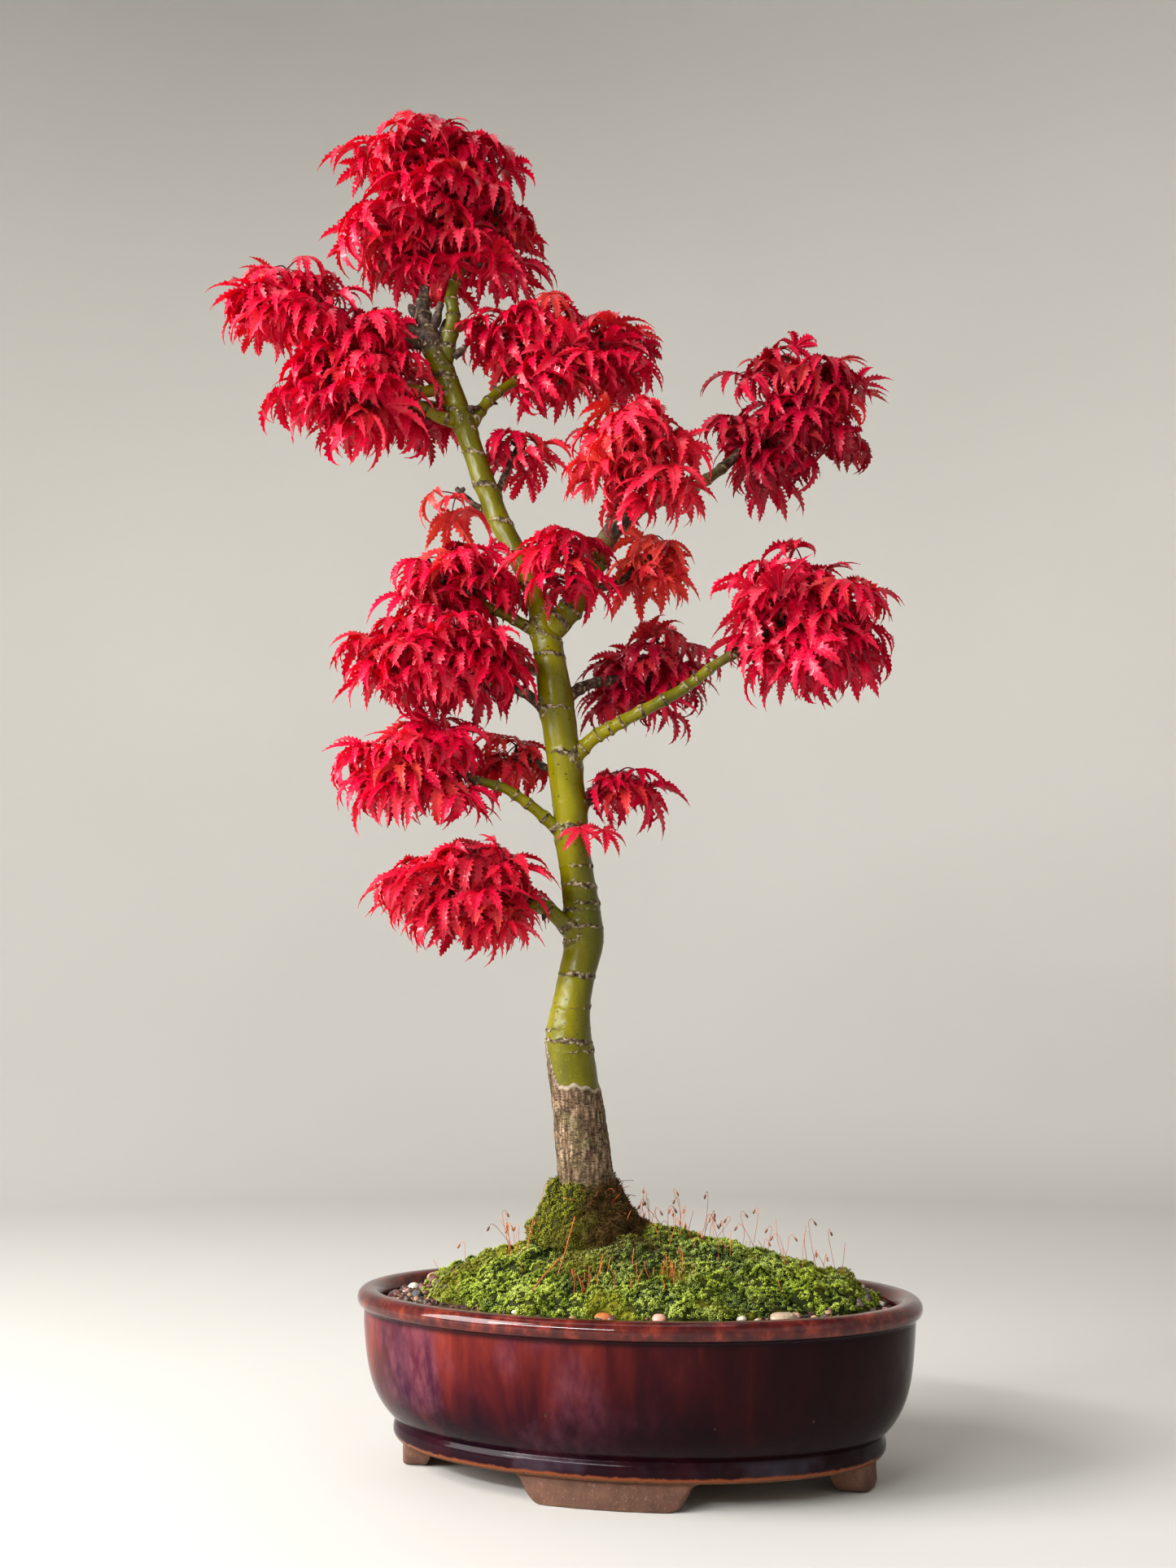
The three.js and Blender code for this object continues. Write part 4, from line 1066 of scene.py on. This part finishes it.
def pad_tips(pad):
    """Where the twigs of a pad end, in the front view. They keep so far inside the pad that the
    leaves round them reach its outline and hang to its underside."""
    rng = rng_for(pad)
    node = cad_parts[pad]
    points = to_front(points_of(node))
    centre = (points.min(0) + points.max(0)) / 2
    size = points.max(0) - points.min(0)
    low, high = points[:, 2].min() + LEAF_HANG, points[:, 2].max() - 9
    places, _ = scatter(points, triangles_of(node), TIP_TRIES, rng)
    gap = places - centre
    level = np.linalg.norm(gap[:, :2], axis=1)
    lumps = 0.85 + 0.3 * ripple(unit(gap), 1.1, pad + "_lumps")
    share = np.maximum(lumps - LEAF_REACH / level, 0.08) * rng.uniform(0, 1, len(places)) ** 0.4
    tips = centre + gap * np.column_stack([share, share, 0.86 * lumps.clip(0.6, 1)])
    tips[:, 2] = np.clip(tips[:, 2], low, max(high, low + 4))
    tips = tips[spread(tips, min(TIP_GAP, size.min() / 4.5))]
    return centre, np.concatenate([tips, np.reshape(MORE_TIPS.get(pad, []), (-1, 3))])


def tip_leaves(tip, centre, rng):
    """The leaves round the tip of a twig, each arching away and down: (base, facing, way, length,
    droop)."""
    up = np.array([0, 0, 1.0])
    away = (tip - centre) * (1, 1, 0)
    reach = np.linalg.norm(away)
    count = rng.integers(4, 8)
    turn = rng.uniform(0, 2 * pi)
    for i in range(count):
        angle = turn + (i + rng.uniform(-0.25, 0.25)) * 2 * pi / count
        way = np.array([cos(angle), sin(angle), 0]) + away / max(reach, 12) * 0.5
        way = unit(way)
        facing = unit(up + way * rng.uniform(-0.05, 0.7) + rng.normal(size=3) * 0.28)
        base = tip + way * rng.uniform(3, 13) + up * rng.uniform(-8, 5)
        way = unit(way - facing * (way @ facing))
        yield base, facing, way, rng.uniform(*LEAF_LENGTH), rng.uniform(*LEAF_DROOP)


def grow_pad(pad, wood, limbs):
    """Leaves on their stalks, and the twigs that carry them, which are part of the branch."""
    rng = rng_for(pad + "_leaves")
    centre, tips = pad_tips(pad)
    groups = [Shells()]
    dark, warm_and_glow = PAINTED_SHADE_PADS.get(pad, 0.0), WARM_AND_GLOW_PADS.get(pad, 0.0)
    top = tips[:, 2].max()
    for i, tip in enumerate(tips):
        gaps = np.linalg.norm(limbs[:, :3] - tip, axis=1) + 12 * (limbs[:, 4] < 0.45)
        at = limbs[gaps.argmin()]
        between = (at[:3] + tip) / 2 + rng.normal(size=3) * 2.5 + np.array([0, 0, -1.5])
        path = smooth_path(np.array([at[:3], between, tip]), 26)
        share = np.linspace(0, 1, 26)
        knots = 1 + 0.28 * np.clip(np.sin(share * 26 + i) - 0.6, 0, 1) / 0.4
        radius = (min(at[3], 1.5) * (1 - share) + 0.65 * share) * knots
        look = np.column_stack([0.2 + 0 * share, 0.75 + 0.2 * share, 0.5 + 0 * share])
        add_tube(wood, front(*path), radius * MM, TWIG_SIDES, look)
        # Painted shade: the lower a twig sits in its pad, the darker its leaves.
        low = np.clip((top - tip[2]) / 45, 0, 1)
        if groups[-1].count > GROUP_POINTS:
            groups.append(Shells())
        shells = groups[-1]
        for base, facing, way, length, droop in tip_leaves(tip, centre, rng):
            clear = np.linalg.norm(wood_samples[:, :3] - base, axis=1) - wood_samples[:, 3]
            if clear.min() < 1.5:
                continue
            tone = np.clip(rng.normal(0.55, 0.2), 0, 1)
            # Painted shade from the twig's height and from the pad's own share.
            shade = np.clip(0.25 * low + dark * rng.uniform(0.6, 1.2), 0, 1)
            # The pad's orange, partly painted glow, and now and then a leaf orange of its own.
            warmth_and_glow = warm_and_glow * rng.uniform(0.5, 1.3)
            warmth_and_glow = np.clip(warmth_and_glow + (rng.random() < 0.10) * rng.uniform(0.2, 0.6), 0, 1)
            add_leaf(shells, base, facing, way, length, rng, tone, (shade, warmth_and_glow, 0), droop)
            add_stalk(shells, tip, base, rng, 0.42, (shade * 0.5, 0, 1))
    return groups


def add_single(shells, name, root, base, facing, way, length):
    """A leaf of its own on the trunk, away from the pads."""
    rng = rng_for(name)
    base, root = np.array(base, float), np.array(root, float)
    facing, way = unit(np.array(facing, float)), np.array(way, float)
    way = unit(way - facing * (way @ facing))
    add_leaf(shells, base, facing, way, length, rng, 0.6, (0, 0.15, 0), 1.1)
    add_stalk(shells, root, base, rng, 0.45, (0, 0, 1))


rootstock_piece()
bark = green_bark_finish()
trunk_piece(bark)
leaf = leaf_finish()
for branch, shoots in BRANCHES.items():
    wood = Shells()
    limbs = {}
    for i, shoot in enumerate(shoots):
        add_limb(wood, f"{branch}{i}", shoot)
        pad = shoot[-1]
        if pad:
            others = [BRANCHES[other][0] for other in MORE_LIMBS.get(pad, ())]
            limbs[pad] = np.concatenate([limb_samples(limb) for limb in [shoot] + others])
    for pad, limb in limbs.items():
        groups = grow_pad(pad, wood, limb)
        if pad == "foliage_low_right_small":
            for name, spot in SINGLES.items():
                add_single(groups[0], name, *spot)
        for i, shells in enumerate(groups):
            name = pad.replace("foliage", "leaves") + (f"_{i + 1}" if i else "")
            place(shells.build(name, 55), "red_leaves", leaf, pad)
    place(wood.build(f"{branch}_wood"), "green_bark", bark, branch)

# ------------------------------------------------------------------------- moss, soil and stones

collar_x, collar_y = to_front(np.array(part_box("moss_collar")).mean(0)[None])[0][:2]


def even_surface(node, voxel):
    """An even, closed mesh over the node's solid: points, triangles and the points' normals."""
    obj = bpy.data.objects.new(node + "_even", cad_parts[node].data.copy())
    bpy.context.collection.objects.link(obj)
    change = obj.modifiers.new("even", "REMESH")
    change.mode = "VOXEL"
    change.voxel_size = voxel * MM
    relax = obj.modifiers.new("relax", "SMOOTH")
    relax.iterations = 4
    bake_modifiers(obj)
    points, tris = points_of(obj), triangles_of(obj)
    bpy.data.objects.remove(obj)
    normals = np.zeros_like(points)
    for corner in tris.T:
        np.add.at(normals, corner, crosses(points, tris))
    return points, tris, unit(normals)


def clump_height(points):
    """The lumps of a cushion, in millimetres."""
    big = ripple(points * (1, 1, 0.5), 0.020, "clumps")
    small = ripple(points, 0.0085, "tufts")
    return 2.0 * big + 3.2 * np.abs(small) - 1.0


def spikes(shells, places, normals, rng, leaves, length, width, tone, dry, tilt):
    """A tuft of small pointed leaves at each place: one up the middle and the rest round it."""
    count = len(places)
    side = unit(np.cross(normals, rng.normal(size=(count, 3))))
    across = np.cross(normals, side)
    spin = rng.uniform(0, 2 * pi, (count, 1)) + np.arange(leaves) * 2 * pi / max(leaves - 1, 1)
    lean = rng.uniform(*tilt, (count, leaves))
    lean[:, 0] = rng.uniform(0, 0.3, count)
    away = side[:, None] * np.cos(spin)[..., None] + across[:, None] * np.sin(spin)[..., None]
    way = normals[:, None] * np.cos(lean)[..., None] + away * np.sin(lean)[..., None]
    flat = unit(np.cross(way, away + 0.01))
    thick = np.cross(way, flat)
    long = length * rng.uniform(0.75, 1.25, (count, leaves, 1)) * MM
    wide = width * MM
    foot = places[:, None] - normals[:, None] * 0.3 * MM + 0 * way
    corners = [foot + flat * wide + way * long * 0.5, foot - flat * wide + way * long * 0.5,
               foot + thick * wide * 0.5 + way * long * 0.25, foot + way * long]
    points = np.stack(corners, 2).reshape(-1, 3)
    tris = np.array([(0, 2, 3), (2, 1, 3), (1, 0, 3), (0, 1, 2)])
    tris = (tris + 4 * np.arange(count * leaves)[:, None, None]).reshape(-1, 3)
    look = np.zeros((count, leaves, 4, 3))
    look[..., 0] = (0.6, 0.6, 0.35, 1.0)
    look[..., 1] = np.asarray(tone)[:, None, None]
    look[..., 2] = np.asarray(dry)[:, None, None]
    shells.add(points, (), tris, look.reshape(-1, 3))


TUFT_TILT = (0.45, 0.95)          # of the outer leaves of a tuft, in radians
STONE_BOXES = [np.array(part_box(name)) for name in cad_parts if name.startswith("pebble_")]


def stone_gap(points):
    """How far points are from the nearest of the larger stones, in millimetres."""
    gaps = []
    for box in STONE_BOXES:
        radius = (box[1] - box[0])[:2].mean() / 2
        gaps.append(np.linalg.norm(points - box.mean(0), axis=1) - radius)
    return np.min(gaps, 0) / MM


def moss_piece(node, finish, tone_of, slot, voxel, spacing, leaves, length, width):
    """The node's solid as moss: a lumpy surface with a tuft of leaves every spacing millimetres."""
    points, tris, normals = even_surface(node, voxel)
    top, lowest = np.clip(normals[:, 2] * 2 + 0.4, 0, 1), 0.0
    if node == "moss_collar":
        top, lowest = np.clip(normals[:, 2] * 2 + 1.4, 0, 1), -0.75
        skirt = np.clip(1 - (points[:, 2] - points[:, 2].min()) / (16 * MM), 0, 1) ** 1.5
        points = points + normals * (1, 1, 0) * (skirt * 4 * MM)[:, None]
    top = top * np.clip(stone_gap(points) / 4, -0.4, 1)
    points = points + normals * (clump_height(points) * top * MM)[:, None]
    rng = rng_for(node)
    shells = Shells()
    tone, dry = tone_of(points)
    # The mound under the tufts counts as low on a shoot, so its finish gives it painted shade.
    look = np.column_stack([0.12 + 0 * tone, tone, dry])
    shells.add(points, (), tris, look)
    area = np.linalg.norm(crosses(points, tris), axis=1).sum() / 2
    count = int(area / (spacing * MM) ** 2)
    places, ways = scatter(points, tris, count, rng, lowest)
    clear = stone_gap(places) > 0.8
    places, ways, count = places[clear], ways[clear], clear.sum()
    ways = unit(ways + np.array([0, 0, 0.45]) + rng.normal(size=ways.shape) * 0.18)
    tone, dry = tone_of(places)
    tone = np.clip(tone + rng.normal(size=count) * 0.13, 0, 1)
    spikes(shells, places, ways, rng, leaves, length, width, tone, dry, TUFT_TILT)
    return place(shells.build(node + "_cushion"), slot, finish, node)


def cushion_tone(points):
    """Light and dark patches over the mound."""
    at = to_front(points)
    patches = 0.55 + 0.42 * ripple(points * (1, 1, 0.4), 0.034, "patches")
    # Painted shade, darker and browner, to the right of the collar and in front of it.
    shade = np.exp(-(((at[:, 0] - collar_x - 16) / 24) ** 2 + ((at[:, 1] - collar_y + 22) / 20) ** 2))
    dry = np.clip(0.9 * ripple(points, 0.05, "dryness") - 0.35, 0, 0.8)
    # Painted light and shade: the tops of the tufts lighter, the hollows between them darker.
    painted_lump_light_and_shade = np.abs(ripple(points, 0.0085, "tufts")) - 0.35
    return np.clip(patches - 0.45 * shade + 0.7 * painted_lump_light_and_shade, 0, 1), np.clip(dry + 0.35 * shade, 0, 0.9)


def collar_tone(points):
    """Brighter on the left, darker and browner on the right."""
    at = to_front(points)
    right = np.clip((at[:, 0] - collar_x + 8 + 8 * ripple(points, 0.014, "collar_edge")) / 16, 0, 1)
    return 0.75 - 0.6 * right + 0.15 * ripple(points, 0.012, "collar_patches"), 0.95 * right


cushion = moss_finish("cushion_moss", srgb(70, 92, 8), srgb(146, 168, 26), srgb(196, 212, 66),
                      srgb(222, 234, 160), srgb(128, 122, 20))
collar = moss_finish("collar_moss", srgb(70, 68, 18), srgb(122, 126, 26), srgb(164, 164, 40),
                     srgb(190, 184, 80), srgb(96, 88, 24))
CUSHIONS = ("moss_front", "moss_right", "moss_back", "moss_left")
for node in CUSHIONS:
    moss_piece(node, cushion, cushion_tone, "cushion_moss",
               voxel=1.7, spacing=2.3, leaves=7, length=1.8, width=0.50)
moss_piece("moss_collar", collar, collar_tone, "collar_moss",
           voxel=1.2, spacing=1.7, leaves=6, length=2.4, width=0.30)

ground = Shells()
for node in ("soil",) + CUSHIONS + ("moss_collar",):
    ground.add(points_of(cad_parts[node]), (), triangles_of(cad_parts[node]))
ground_tree = BVHTree.FromPolygons(
    *(np.concatenate(rows).tolist() for rows in (ground.points, ground.tris)))


def ground_at(x, y, bare=False):
    """The top of the ground under a place in the row frame, or None where there is none. With
    bare, it is also None where moss covers the soil."""
    place, _, face, _ = ground_tree.ray_cast(Vector((x, y, 1)), Vector((0, 0, -1)))
    if place is None or (bare and face >= len(ground.tris[0])):
        return None
    return np.array(place)


SOIL_CRUMBS = 1500


def soil_piece():
    """The bed of soil, with loose crumbs round its edge."""
    points, tris, normals = even_surface("soil", 2.2)
    top = np.clip(normals[:, 2] * 2, 0, 1)
    points = points + normals * (0.6 * ripple(points, 0.006, "soil") * top * MM)[:, None]
    shells = Shells()
    shells.add(points, (), tris, (0.3, 0, 0))
    rng = rng_for("soil")
    ball, faces = sphere(1)
    reach = np.array([half_length, half_width]) - LIP_WIDTH - 1.8
    for _ in range(SOIL_CRUMBS):
        angle, share = rng.uniform(0, 2 * pi), rng.uniform(0.80, 1.0)
        place_at = reach * (cos(angle), sin(angle)) * share * MM + POT_CENTRE[:2]
        hit = ground_at(*place_at, bare=True)
        if hit is None:
            continue
        size = rng.uniform(0.7, 1.7, 3) * (1, 1, 0.8)
        grain = ball * size * (1 + 0.16 * rng.normal(size=(len(ball), 1)))
        tone = np.clip(rng.normal(0.4, 0.22), 0, 1)
        shells.add(hit + (grain + (0, 0, 0.2)) * MM, (), faces, (tone, 0, 0))
    finish = grain_finish("potting_soil", 0.95, (0.1, 30, 20, 15), (0.45, 70, 46, 32),
                          (0.75, 112, 76, 54), (1.0, 150, 116, 88))
    return place(shells.build("soil_bed", 40), "soil", finish, "soil")


soil_piece()

STONES = {
    "pebble_tan": (srgb(214, 168, 122), srgb(168, 112, 70), srgb(232, 204, 170)),
    "pebble_amber": (srgb(176, 100, 48), srgb(120, 58, 24), srgb(206, 150, 90)),
    "pebble_slate": (srgb(34, 40, 56), srgb(18, 22, 34), srgb(92, 104, 124)),
    "pebble_pink": (srgb(216, 156, 140), srgb(176, 104, 92), srgb(236, 206, 194)),
    "pebble_speckled": (srgb(172, 148, 124), srgb(104, 84, 68), srgb(214, 198, 178)),
    "pebble_grey": (srgb(156, 154, 148), srgb(112, 112, 110), srgb(206, 204, 198)),
}


def pebble_piece(node, base, dark, vein):
    """A worn stone that fills the node's box."""
    low, high = (np.array(corner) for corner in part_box(node))
    solid = points_of(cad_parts[node])
    middle = (low + high) / 2
    turn = np.eye(3)
    turn[:2, :2] = np.linalg.svd((solid - middle)[:, :2], full_matrices=False)[2]
    half = np.abs((solid - middle) @ turn.T).max(0)
    ball, faces = sphere(4)
    bumps = 1 + 0.07 * ripple(ball, 1.4, node) + 0.03 * ripple(ball, 0.5, node + "_fine")
    ball = np.sign(ball) * np.abs(ball) ** 0.9
    shells = Shells()
    shells.add(middle + (ball * bumps[:, None] * half * 0.97) @ turn, (), faces, (0.5, 0, 0))
    finish = grain_finish(node, 0.5, (0.2, dark), (0.5, base), (0.8, base), vein=vein)
    return place(shells.build(node + "_stone"), node, finish, node)


for node, (base, dark, vein) in STONES.items():
    pebble_piece(node, base, dark, vein)

# (colour, share of the loose stones)
GRAVEL = ((srgb(96, 44, 44), 0.24), (srgb(60, 44, 38), 0.22), (srgb(176, 128, 112), 0.12),
          (srgb(206, 196, 180), 0.10), (srgb(150, 112, 78), 0.16), (srgb(44, 46, 54), 0.16))
GRAVEL_TRIES = 900
MOST_GRAVEL = 230


def gravel_piece():
    """Loose small stones: a drift of them at the back left, and a few along the lip."""
    rng = rng_for("gravel")
    ball, faces = sphere(2)
    shells = Shells()
    tones = np.linspace(0, 1, len(GRAVEL) + 1)
    spots = []
    for _ in range(GRAVEL_TRIES):
        if rng.random() < 0.55:
            angle, share = radians(rng.uniform(150, 214)), rng.uniform(0.80, 0.985)
        else:
            angle, share = rng.uniform(0, 2 * pi), rng.uniform(0.90, 0.985)
        spots.append((angle, share))
    kept = []
    for angle, share in spots:
        x = (half_length - LIP_WIDTH - 1.5) * cos(angle) * share
        y = (half_width - LIP_WIDTH - 1.5) * sin(angle) * share
        size = rng.uniform(1.1, 3.9 if share < 0.95 and 2.6 < angle < 3.7 else 2.6)
        if any((x - a) ** 2 + (y - b) ** 2 < (size + c) ** 2 * 0.7 for a, b, c in kept):
            continue
        hit = ground_at(x * MM + POT_CENTRE[0], y * MM + POT_CENTRE[1])
        if hit is None or len(kept) > MOST_GRAVEL:
            continue
        kept.append((x, y, size))
        axes = size * rng.uniform(0.7, 1.15, 3) * (1, 1, 0.75)
        spin = np.array(Matrix.Rotation(rng.uniform(0, pi), 3, "Z"))
        bumps = 1 + 0.13 * ripple(ball + rng.uniform(0, 9, 3), 1.6, "gravel")
        grain = (ball * bumps[:, None] * axes) @ spin.T
        pick = rng.choice(len(GRAVEL), p=[share for _, share in GRAVEL])
        tone = (tones[pick] + tones[pick + 1]) / 2
        shells.add(hit + (grain + (0, 0, size * 0.35)) * MM, (), faces, (tone, 0, 0))
    f = Finish("loose_gravel", roughness=0.55)
    own = f.attribute("look", 0)
    colour = f.ramp(own, *((tones[i], colour) for i, (colour, _) in enumerate(GRAVEL)))
    f.tree.nodes["Color Ramp"].color_ramp.interpolation = "CONSTANT"
    speck = f.noise(1.1, 4)
    f.set("Base Color", f.mix(f.span(speck, 0.5, 0.7, 0, 0.4), colour, srgb(190, 170, 150)))
    f.bump(speck, 0.25)
    return place(shells.build("gravel_loose"), "soil", f.material)


gravel_piece()


# Patches of stalks: how many, across, crowding to the left, away, heights, lean, radius, tones, and
# the share of them with a capsule.
STALKS = (
    (52, (2, 105), 1.3, (-30, 45), (8, 27), 0.28, 0.13, (0.1, 0.9), 0.75),
    (34, (-30, 22), 1, (-62, -46), (5, 13), 0.16, 0.18, (0.4, 0.8), 0),
    (12, (-66, -48), 1, (-15, 12), (13, 22), 0.25, 0.13, (0.2, 0.9), 0.7),
    (22, (-100, 90), 1, (-62, 50), (8, 17), 0.3, 0.13, (0.2, 0.9), 0.5),
)
# Loose hairs round the right side of the collar.
COLLAR_HAIRS = 90
COLLAR_RADIUS = 15
COLLAR_FOOT = 108


def stalks_piece():
    """Thin red stalks of the moss, most of them with a drooping capsule."""
    rng = rng_for("stalks")
    ball, faces = sphere(1)
    shells = Shells()

    def add(x, y, height, lean, radius, tone, capsule):
        hit = ground_at(*front((x, y, 0))[0][:2])
        if hit is None:
            return
        foot = to_front(hit[None])[0] - (0, 0, 1.0)
        way = np.array([lean[0], lean[1], 1.0])
        top = foot + way / np.linalg.norm(way) * height
        kink = (foot + top) / 2 + rng.normal(size=3) * height * 0.035
        ends = [foot, kink, top]
        if capsule:
            over = unit(np.array([lean[0], lean[1], 0]) + rng.normal(size=3) * (0.5, 0.5, 0))
            ends += [top + over * 1.4 + (0, 0, 0.5), top + over * 2.4 - (0, 0, 0.9)]
        path = smooth_path(np.array(ends), 16)
        up = np.linspace(0, 1, 16)
        look = np.column_stack([up, tone + 0 * up, 0 * up])
        add_tube(shells, front(*path), np.full(16, radius * MM), 5, look)
        if capsule:
            along = unit(path[-1] - path[-3])
            side = unit(np.cross(along, (0.3, 0.8, 0.1)))
            body = ball * (0.62, 0.62, 1.5)
            turned = body[:, :1] * side + body[:, 1:2] * np.cross(along, side) + body[:, 2:] * along
            shells.add(front(*(path[-1] + along * 1.2 + turned)), (), faces, (1, tone, 1))

    for count, across, crowding, away, heights, spread_out, radius, tones, share in STALKS:
        for _ in range(count):
            x = across[0] + (across[1] - across[0]) * rng.random() ** crowding
            y = rng.uniform(*away)
            height, lean = rng.uniform(*heights), rng.normal(size=2) * spread_out
            tone = rng.uniform(*tones)
            add(x, y, height, lean, radius, tone, share > 0 and rng.random() < share)
    # Two long dead stalks lie over the front left of the mound.
    add(-52, -52, 24, (0.85, 0.1), 0.34, 0.45, False)
    add(-38, -40, 30, (0.3, 0.0), 0.28, 0.6, False)
    for _ in range(COLLAR_HAIRS):
        angle, high = rng.uniform(-1.9, 1.3), rng.uniform(0, 26)
        foot = np.array([collar_x + COLLAR_RADIUS * cos(angle), collar_y + COLLAR_RADIUS * sin(angle),
                         COLLAR_FOOT + high])
        bend = unit(rng.normal(size=3) + np.array([cos(angle), sin(angle), 0.4]) * 0.9)
        ends = [foot, foot + bend * 4 + (0, 0, 1.5), foot + bend * 9 + rng.normal(size=3) * 2.5]
        path = smooth_path(np.array(ends), 10)
        look = (0.5, rng.uniform(0.0, 1.0), rng.random() * 0.9)
        add_tube(shells, front(*path), np.linspace(0.26, 0.12, 10) * MM, 4, look)
    return place(shells.build("moss_stalks"), "cushion_moss", stalk_finish())


stalks_piece()

# ------------------------------------------------------------------- floor, light and camera

FLAT_RADIUS = 1400
CURVE_RADIUS = 900
WALL_TOP = 3200
FLOOR_SIDES = 96
# Area lights: place, aim, size in metres, watts, colour.
LIGHTS = {
    "key": ((-1500, -550, 950), (-20, 0, 330), (1.0, 1.2), 58, (1.0, 0.985, 0.965)),
    "fill": ((1300, -1500, 900), (0, 0, 300), (1.6, 1.6), 3, (0.95, 0.97, 1.0)),
    "strip": ((-950, -1150, 820), (0, 0, 250), (1.1, 0.09), 24, (0.93, 0.97, 1.0)),
    "top": ((-300, 200, 2300), (-300, 201, 0), (1.6, 1.6), 12, (1.0, 1.0, 1.0)),
}
SKY_COLOUR = (0.92, 0.96, 1.0, 1)
SKY_STRENGTH = 0.12
SENSOR = 36
CAMERA_PLACE = (-23, -829, 209)
CAMERA_TILT = radians(9.2)
FOCAL_PIXELS = 1950
FRAME_PIXELS = 1927


def sweep_floor():
    """A pale round floor that curves up into a wall, well away from the tree on every side."""
    turns = np.linspace(0.05, pi / 2, 24)
    flat = [(400, 0), (FLAT_RADIUS, 0)]
    curve = [(FLAT_RADIUS + CURVE_RADIUS * sin(turn), CURVE_RADIUS * (1 - cos(turn))) for turn in turns]
    profile = np.array(flat + curve + [(FLAT_RADIUS + CURVE_RADIUS, WALL_TOP)], float)
    angles = np.linspace(0, 2 * pi, FLOOR_SIDES, endpoint=False)
    rings = np.stack([profile[:, :1] * np.cos(angles), profile[:, :1] * np.sin(angles),
                      profile[:, 1:] + 0 * angles], -1)
    points = np.concatenate([rings.reshape(-1, 3), [(0, 0, 0)]])
    middle = [(len(points) - 1, (i + 1) % FLOOR_SIDES, i) for i in range(FLOOR_SIDES)]
    shells = Shells()
    shells.add(front(*points), ring_faces(len(profile), FLOOR_SIDES), middle)
    floor = shells.build("floor")
    f = Finish("floor_paint", roughness=0.75)
    f.set("Base Color", f.ramp(f.noise(900, 2), (0.3, 206, 203, 197), (0.7, 201, 198, 192)))
    floor.data.materials.append(f.material)


def add_light(name, place_mm, aim_mm, size, power, colour):
    light = bpy.data.lights.new(name, "AREA")
    light.shape = "RECTANGLE"
    light.size, light.size_y = size
    light.energy = power
    light.color = colour
    obj = bpy.data.objects.new(name, light)
    obj.location, aim = front(place_mm)[0], front(aim_mm)[0]
    obj.rotation_euler = Vector(aim - np.array(obj.location)).to_track_quat("-Z", "Y").to_euler()
    bpy.context.collection.objects.link(obj)


sweep_floor()
for name, light in LIGHTS.items():
    add_light(name, *light)

world = bpy.data.worlds.new("studio")
world.use_nodes = True
sky = world.node_tree.nodes["Background"].inputs
sky["Color"].default_value, sky["Strength"].default_value = SKY_COLOUR, SKY_STRENGTH
bpy.context.scene.world = world
bpy.context.scene.view_settings.view_transform = "Standard"

camera_data = bpy.data.cameras.new("camera")
camera_data.sensor_width = SENSOR
camera_data.lens = SENSOR * FOCAL_PIXELS / FRAME_PIXELS
camera = bpy.data.objects.new("camera", camera_data)
camera.location = front(CAMERA_PLACE)[0]
camera.rotation_euler = (pi / 2 + CAMERA_TILT, 0, FRONT_TURN)
bpy.context.collection.objects.link(camera)
bpy.context.scene.camera = camera
